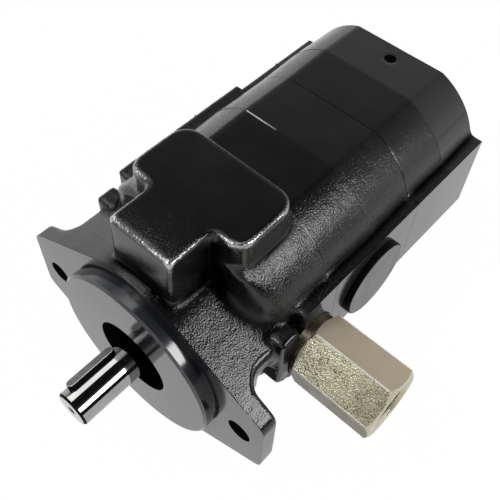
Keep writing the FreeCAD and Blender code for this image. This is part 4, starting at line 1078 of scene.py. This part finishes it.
def zinc_finish():
    """Pale yellow plating; mottle says how rough and worn a flat is, and the second attribute how much darker
    a face is.
    """
    finish, tree, where = new_finish("zinc_plate")
    colour = tuple(bpy.context.scene.pump_metals.zinc_colour)
    grain = grained(tree, where, 1600.0, 150.0)
    mottle = attribute(tree, "mottle")
    mouth = put(tree, "ShaderNodeSeparateXYZ", {0: where})["X"]
    specked = calc(tree, 'MULTIPLY', ranged(tree, grain["Height"], 0.32, 0.4, 1.0, 0.0), mottle)
    worn = calc(tree, 'MULTIPLY', ranged(tree, mouth, 0.066, 0.09, 0.0, 0.5), mottle)
    paler = mixed(tree, mottle, colour, (colour[0] * 0.9, colour[1] * 1.03, colour[2]))
    speckled = mixed(tree, calc(tree, 'MAXIMUM', specked, worn), paler, (0.22, 0.2, 0.13))
    height = calc(tree, 'MULTIPLY', grain["Height"], mottle)
    return painted(finish, {
        "Base Color": mixed(tree, attribute(tree, "grime"), speckled, (0.1, 0.09, 0.06)),
        "Metallic": 0.95,
        "Roughness": ranged(tree, grain["Mask"], 0.0, 1.0, 0.3, 0.4),
        "Normal": bumped(tree, height, 1.0, 0.0003),
    })


# Wear, dirt and painted shade on the metal parts; the third finish of each is the dark oiled one, which also
# paints shade
def mottle_flats(piece):
    """The adapter's front flat is mottled and its upper one smooth; its collar and its other flats are
    darker.
    """
    amounts = []
    stains = []
    for face in piece.data.polygons:
        front = face.normal.dot(Vector(FRONT_FLAT)) > 0.97
        upper = face.normal.dot(Vector(UPPER_FLAT)) > 0.97
        collar = face.center.x < HEX_START * MM - 0.0001
        clean = front or upper or abs(face.normal.x) > 0.5
        amounts.append(1.0 if front else 0.08 if upper else 0.4)
        # The collar and the flats other than the front, upper and end ones are made darker
        stains.append(0.0 if clean and not collar else 0.85)
    for name, values in (("mottle", amounts), ("grime", stains)):
        layer = piece.data.attributes.new(name, 'FLOAT', 'FACE')
        layer.data.foreach_set("value", values)


def darken_sides(piece):
    """Painted shade on the key's sides, which get the dark oiled finish; its top is clean."""
    up = max(piece.data.polygons, key=lambda face: face.area).normal.copy()
    for face in piece.data.polygons:
        if abs(face.normal.dot(up)) < 0.5:
            face.material_index = 2


def darken_rim(piece):
    """Painted shade round the cap's rim, where it stands off the pad: the rim gets the dark oiled finish, the
    face keeps the cap's own.
    """
    for face in piece.data.polygons:
        face.material_index = 0 if face.normal.x > 0.95 else 2


def darken_hollows(piece):
    """Oil and shadow in the shaft's centre hole and keyseats, and on the chamfer of its tip."""
    for face in piece.data.polygons:
        spot = face.center / MM
        out = math.hypot(spot.x, spot.z)
        hole = out < 2.3 and spot.y < -34.0 and abs(face.normal.y) < 0.95
        seat = 2.3 < out < 7.3 and -36.0 < spot.y < -8.0
        chamfer = out > 6.8 and spot.y < -37.1 and 0.4 < abs(face.normal.y) < 0.9
        if hole or seat or chamfer:
            face.material_index = 2


MARKS = {
    "outlet_adapter": mottle_flats,
    "drive_shaft": darken_hollows,
    "drive_shaft_key": darken_sides,
    "suction_port_cap": darken_rim,
}


# Operators
class PUMP_OT_castings(bpy.types.Operator):
    """Makes the front, middle and rear castings: rough cast skin, then milled, turned and drilled"""
    bl_idname = "pump.castings"
    bl_label = "Castings"

    def execute(self, context):
        finishes = [cast_skin_finish(), machined_iron_finish(), oil_and_shade_finish()]
        for node in CASTINGS:
            cast_piece(node, finishes)
        return {'FINISHED'}


class PUMP_OT_metal_parts(bpy.types.Operator):
    """Gives the CAD pieces their finishes, breaks the edges of those in sight and copies the springs onto
    their bodies
    """
    bl_idname = "pump.metal_parts"
    bl_label = "Metal parts"

    def execute(self, context):
        metals = context.scene.pump_metals
        slots = material_slots()
        looks = {
            "ground_steel": (metals.steel_colour, 1.0, 0.05, 900.0, 0.02),
            "key_steel": (metals.key_colour, 0.9, 0.4),
            "gear_steel": (metals.gear_colour, 1.0, 0.28),
            "spring_steel": (metals.key_colour, 1.0, 0.3),
            "bolt_steel": (metals.bolt_colour, 0.8, 0.38),
            "bush_bronze": (metals.bronze_colour, 1.0, 0.3),
            "plate_bronze": (metals.bronze_colour, 1.0, 0.26),
            "seal_rubber": (metals.rubber_colour, 0.0, 0.45, 1500.0, 0.15, 200.0, 1.3, 1.2),
            "cap_plastic": (metals.cap_colour, 0.0, 0.22, 500.0, 0.1),
        }
        finishes = {slot: plain_finish(slot, *look) for slot, look in looks.items()}
        finishes["zinc_plate"] = zinc_finish()
        for node, slot in slots.items():
            if node not in CASTINGS:
                mesh = frame["nodes"][node].data
                mesh.materials.clear()
                mesh.materials.append(finishes[slot])
        worn = plain_finish("worn_edge", (0.8, 0.79, 0.74), 0.4, 0.3)
        bare = plain_finish("bare_zinc_edge", (0.9, 0.88, 0.82), 0.0, 0.3)
        hole = bpy.data.materials["oiled_bore_look"]
        for node, width in BROKEN_EDGES.items():
            edge = bare if node == "outlet_adapter" else worn
            piece = broken_edges(node, width, [finishes[slots[node]], edge, hole])
            if node in MARKS:
                MARKS[node](piece)
            elif slots[node] == "bolt_steel":
                piece.data.polygons.foreach_set("material_index", [0] * len(piece.data.polygons))
            ride_as(piece, node)
        for node, (joint, end, length, travel) in SPRINGS.items():
            spring = link(node + "_piece", frame["nodes"][node].data.copy())
            own_finish(spring, [finishes[slots[node]]], 0)
            ride_as(spring, node)
            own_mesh(spring)
        return {'FINISHED'}


class PUMP_OT_grown_parts(bpy.types.Operator):
    """Grows the threads, the bolt heads' knurls and the mould joints' flash with node groups"""
    bl_idname = "pump.grown_parts"
    bl_label = "Threads, knurls and flash"

    def execute(self, context):
        looks = bpy.data.materials
        plain_finish("flash_skin", context.scene.pump_castings.skin_colour, 0.0, 0.2, 1200.0, 0.4)
        # Pale bare iron for the sliver: partly flash, partly painted highlight
        plain_finish("flash_bright", (0.8, 0.8, 0.79), 1.0, 0.22, 1200.0, 0.4)
        thread = thread_group()
        for name, (place, turn, radius, length, pitch, tooth, look) in THREADS.items():
            grow(name, thread, {
                "Radius": radius * MM, "Length": length * MM, "Turns": length / pitch, "Tooth": tooth * MM,
                "Place": Vector(place) * MM, "Turn": tuple(math.radians(angle) for angle in turn),
                "Finish": looks[look]})
        heads = path_mesh([(x, KNURL_Y, z) for x, z in BOLTS], [])
        grow("bolt_head_knurls", knurl_group(), {**KNURL, "Finish": looks["bolt_steel_look"]}, heads)
        paths = {
            "middle_mould_flash": mould_line(MIDDLE_MOULD_JOINT, LEFT_PAD_SIDE),
            "rear_mould_flash": mould_line(REAR_MOULD_JOINT, REAR_LEFT_PAD_SIDE),
            "ear_root_flash": chain(EAR_ROOT),
            "adapter_arrises": arris_mesh(),
            "bright_flash_sliver": chain(SLIVER),
        }
        flash = flash_group()
        for name, (thickness, unevenness, seed, look) in FLASH.items():
            grow(name, flash, {
                "Thickness": thickness * MM, "Unevenness": unevenness, "Seed": seed,
                "Finish": looks[look]}, paths[name])
        return {'FINISHED'}


class PUMP_OT_stage(bpy.types.Operator):
    """Sets the floor, the softboxes, the world and the camera"""
    bl_idname = "pump.stage"
    bl_label = "Stage"

    def execute(self, context):
        stage = context.scene.pump_stage
        build_floor(stage)
        for name, (place, target, width, height, power) in SOFTBOXES.items():
            softbox(name, place, target, width, height, getattr(stage, power))
        build_world(stage)
        build_camera()
        context.scene.view_settings.view_transform = 'Standard'
        return {'FINISHED'}


def straight_rays(tree):
    """One for rays that the camera, a gloss or a glass sees, zero for rays that light the object."""
    rays = put(tree, "ShaderNodeLightPath", {})
    glossy = calc(tree, 'MAXIMUM', rays["Is Camera Ray"], rays["Is Glossy Ray"])
    return calc(tree, 'MAXIMUM', glossy, rays["Is Transmission Ray"])


def build_floor(stage):
    """White floor: plain white to the camera, and fainter towards the right in the pump's gloss."""
    bm = bmesh.new()
    bmesh.ops.create_grid(bm, x_segments=1, y_segments=1, size=FLOOR_SIZE)
    turn = Matrix.Rotation(stage.floor_tilt, 4, 'X')
    bm.transform(Matrix.Translation((0.0, 0.0, FLOOR_HEIGHT)) @ turn)
    floor = link("floor", mesh_from(bm, "floor"))
    finish = bpy.data.materials.new("floor_white")
    finish.use_nodes = True
    tree = finish.node_tree
    shader = tree.nodes["Principled BSDF"]
    fill(tree, shader, {"Base Color": (0.9, 0.9, 0.9, 1.0), "Roughness": 0.8})
    glow = put(tree, "ShaderNodeEmission", {"Color": (1.0, 1.0, 1.0, 1.0), "Strength": 1.0})[0]
    camera = calc(tree, 'MULTIPLY', put(tree, "ShaderNodeLightPath", {})["Is Camera Ray"], 0.99)
    where = put(tree, "ShaderNodeTexCoord", {})["Object"]
    right = put(tree, "ShaderNodeSeparateXYZ", {0: where})["X"]
    shine = ranged(tree, right, -0.02, 0.2, stage.floor_shine, stage.floor_shine * 0.5)
    gloss = calc(tree, 'MULTIPLY', straight_rays(tree), shine)
    seen = calc(tree, 'MAXIMUM', camera, gloss)
    mix = put(tree, "ShaderNodeMixShader", {0: seen, 1: shader.outputs[0], 2: glow})[0]
    tree.links.new(mix, tree.nodes["Material Output"].inputs["Surface"])
    floor.data.materials.append(finish)


def softbox(name, place, target, width, height, power):
    light = bpy.data.lights.new(name, 'AREA')
    light.shape = 'RECTANGLE'
    light.size = width
    light.size_y = height
    light.energy = power
    item = link(name, light)
    aim = Vector(target) - Vector(place)
    item.matrix_world = Matrix.Translation(place) @ aim.to_track_quat('-Z', 'Y').to_matrix().to_4x4()


def build_world(stage):
    """White to the camera; the gloss shows a studio that darkens upwards and to the far right."""
    world = bpy.data.worlds.new("studio")
    bpy.context.scene.world = world
    world.use_nodes = True
    tree = world.node_tree
    tree.nodes.clear()
    where = put(tree, "ShaderNodeTexCoord", {})["Generated"]
    parts = put(tree, "ShaderNodeSeparateXYZ", {0: where})
    gradient = ranged(tree, parts["Z"], 0.05, 0.85, 1.0, stage.ceiling_level)
    flag = ranged(tree, parts["X"], 0.86, 0.92, 1.0, 0.02)
    studio = calc(tree, 'MULTIPLY', gradient, flag)
    seen = calc(tree, 'MAXIMUM', put(tree, "ShaderNodeLightPath", {})["Is Camera Ray"], studio)
    level = put(tree, "ShaderNodeMix", {0: straight_rays(tree), 2: stage.world_level, 3: seen})[0]
    glow = put(tree, "ShaderNodeBackground", {"Color": (1.0, 1.0, 1.0, 1.0), "Strength": level})[0]
    tree.links.new(glow, tree.nodes.new("ShaderNodeOutputWorld").inputs["Surface"])


def build_camera():
    camera = bpy.data.cameras.new("camera")
    camera.sensor_width = 36.0
    camera.lens = 52.21
    camera.shift_y = -0.0027
    camera.clip_start = 0.01
    item = link("camera", camera)
    turn = Matrix((CAMERA_RIGHT, CAMERA_UP, CAMERA_BACK)).transposed().to_4x4()
    item.matrix_world = Matrix.Translation(CAMERA_PLACE) @ turn
    bpy.context.scene.camera = item


class PUMP_PT_panel(bpy.types.Panel):
    """Lists the steps that build the pump"""
    bl_idname = "PUMP_PT_panel"
    bl_label = "Two-stage pump"
    bl_space_type = 'VIEW_3D'
    bl_region_type = 'UI'
    bl_category = "Pump"

    def draw(self, context):
        for step in STEPS:
            self.layout.operator(step.bl_idname)
        for group in (context.scene.pump_castings, context.scene.pump_metals, context.scene.pump_stage):
            for key in group.__annotations__:
                self.layout.prop(group, key)


STEPS = [PUMP_OT_castings, PUMP_OT_metal_parts, PUMP_OT_grown_parts, PUMP_OT_stage]
SETTINGS = {
    "pump_castings": PumpCastingSettings,
    "pump_metals": PumpMetalSettings,
    "pump_stage": PumpStageSettings,
}


def register():
    for item in list(SETTINGS.values()) + STEPS + [PUMP_PT_panel]:
        bpy.utils.register_class(item)
    for name, group in SETTINGS.items():
        setattr(bpy.types.Scene, name, PointerProperty(type=group))


def unregister():
    for name in SETTINGS:
        delattr(bpy.types.Scene, name)
    for item in [PUMP_PT_panel] + STEPS[::-1] + list(SETTINGS.values())[::-1]:
        bpy.utils.unregister_class(item)


def main():
    register()
    bpy.ops.pump.castings()
    bpy.ops.pump.metal_parts()
    bpy.ops.pump.grown_parts()
    bpy.ops.pump.stage()


if __name__ == "__main__":
    main()
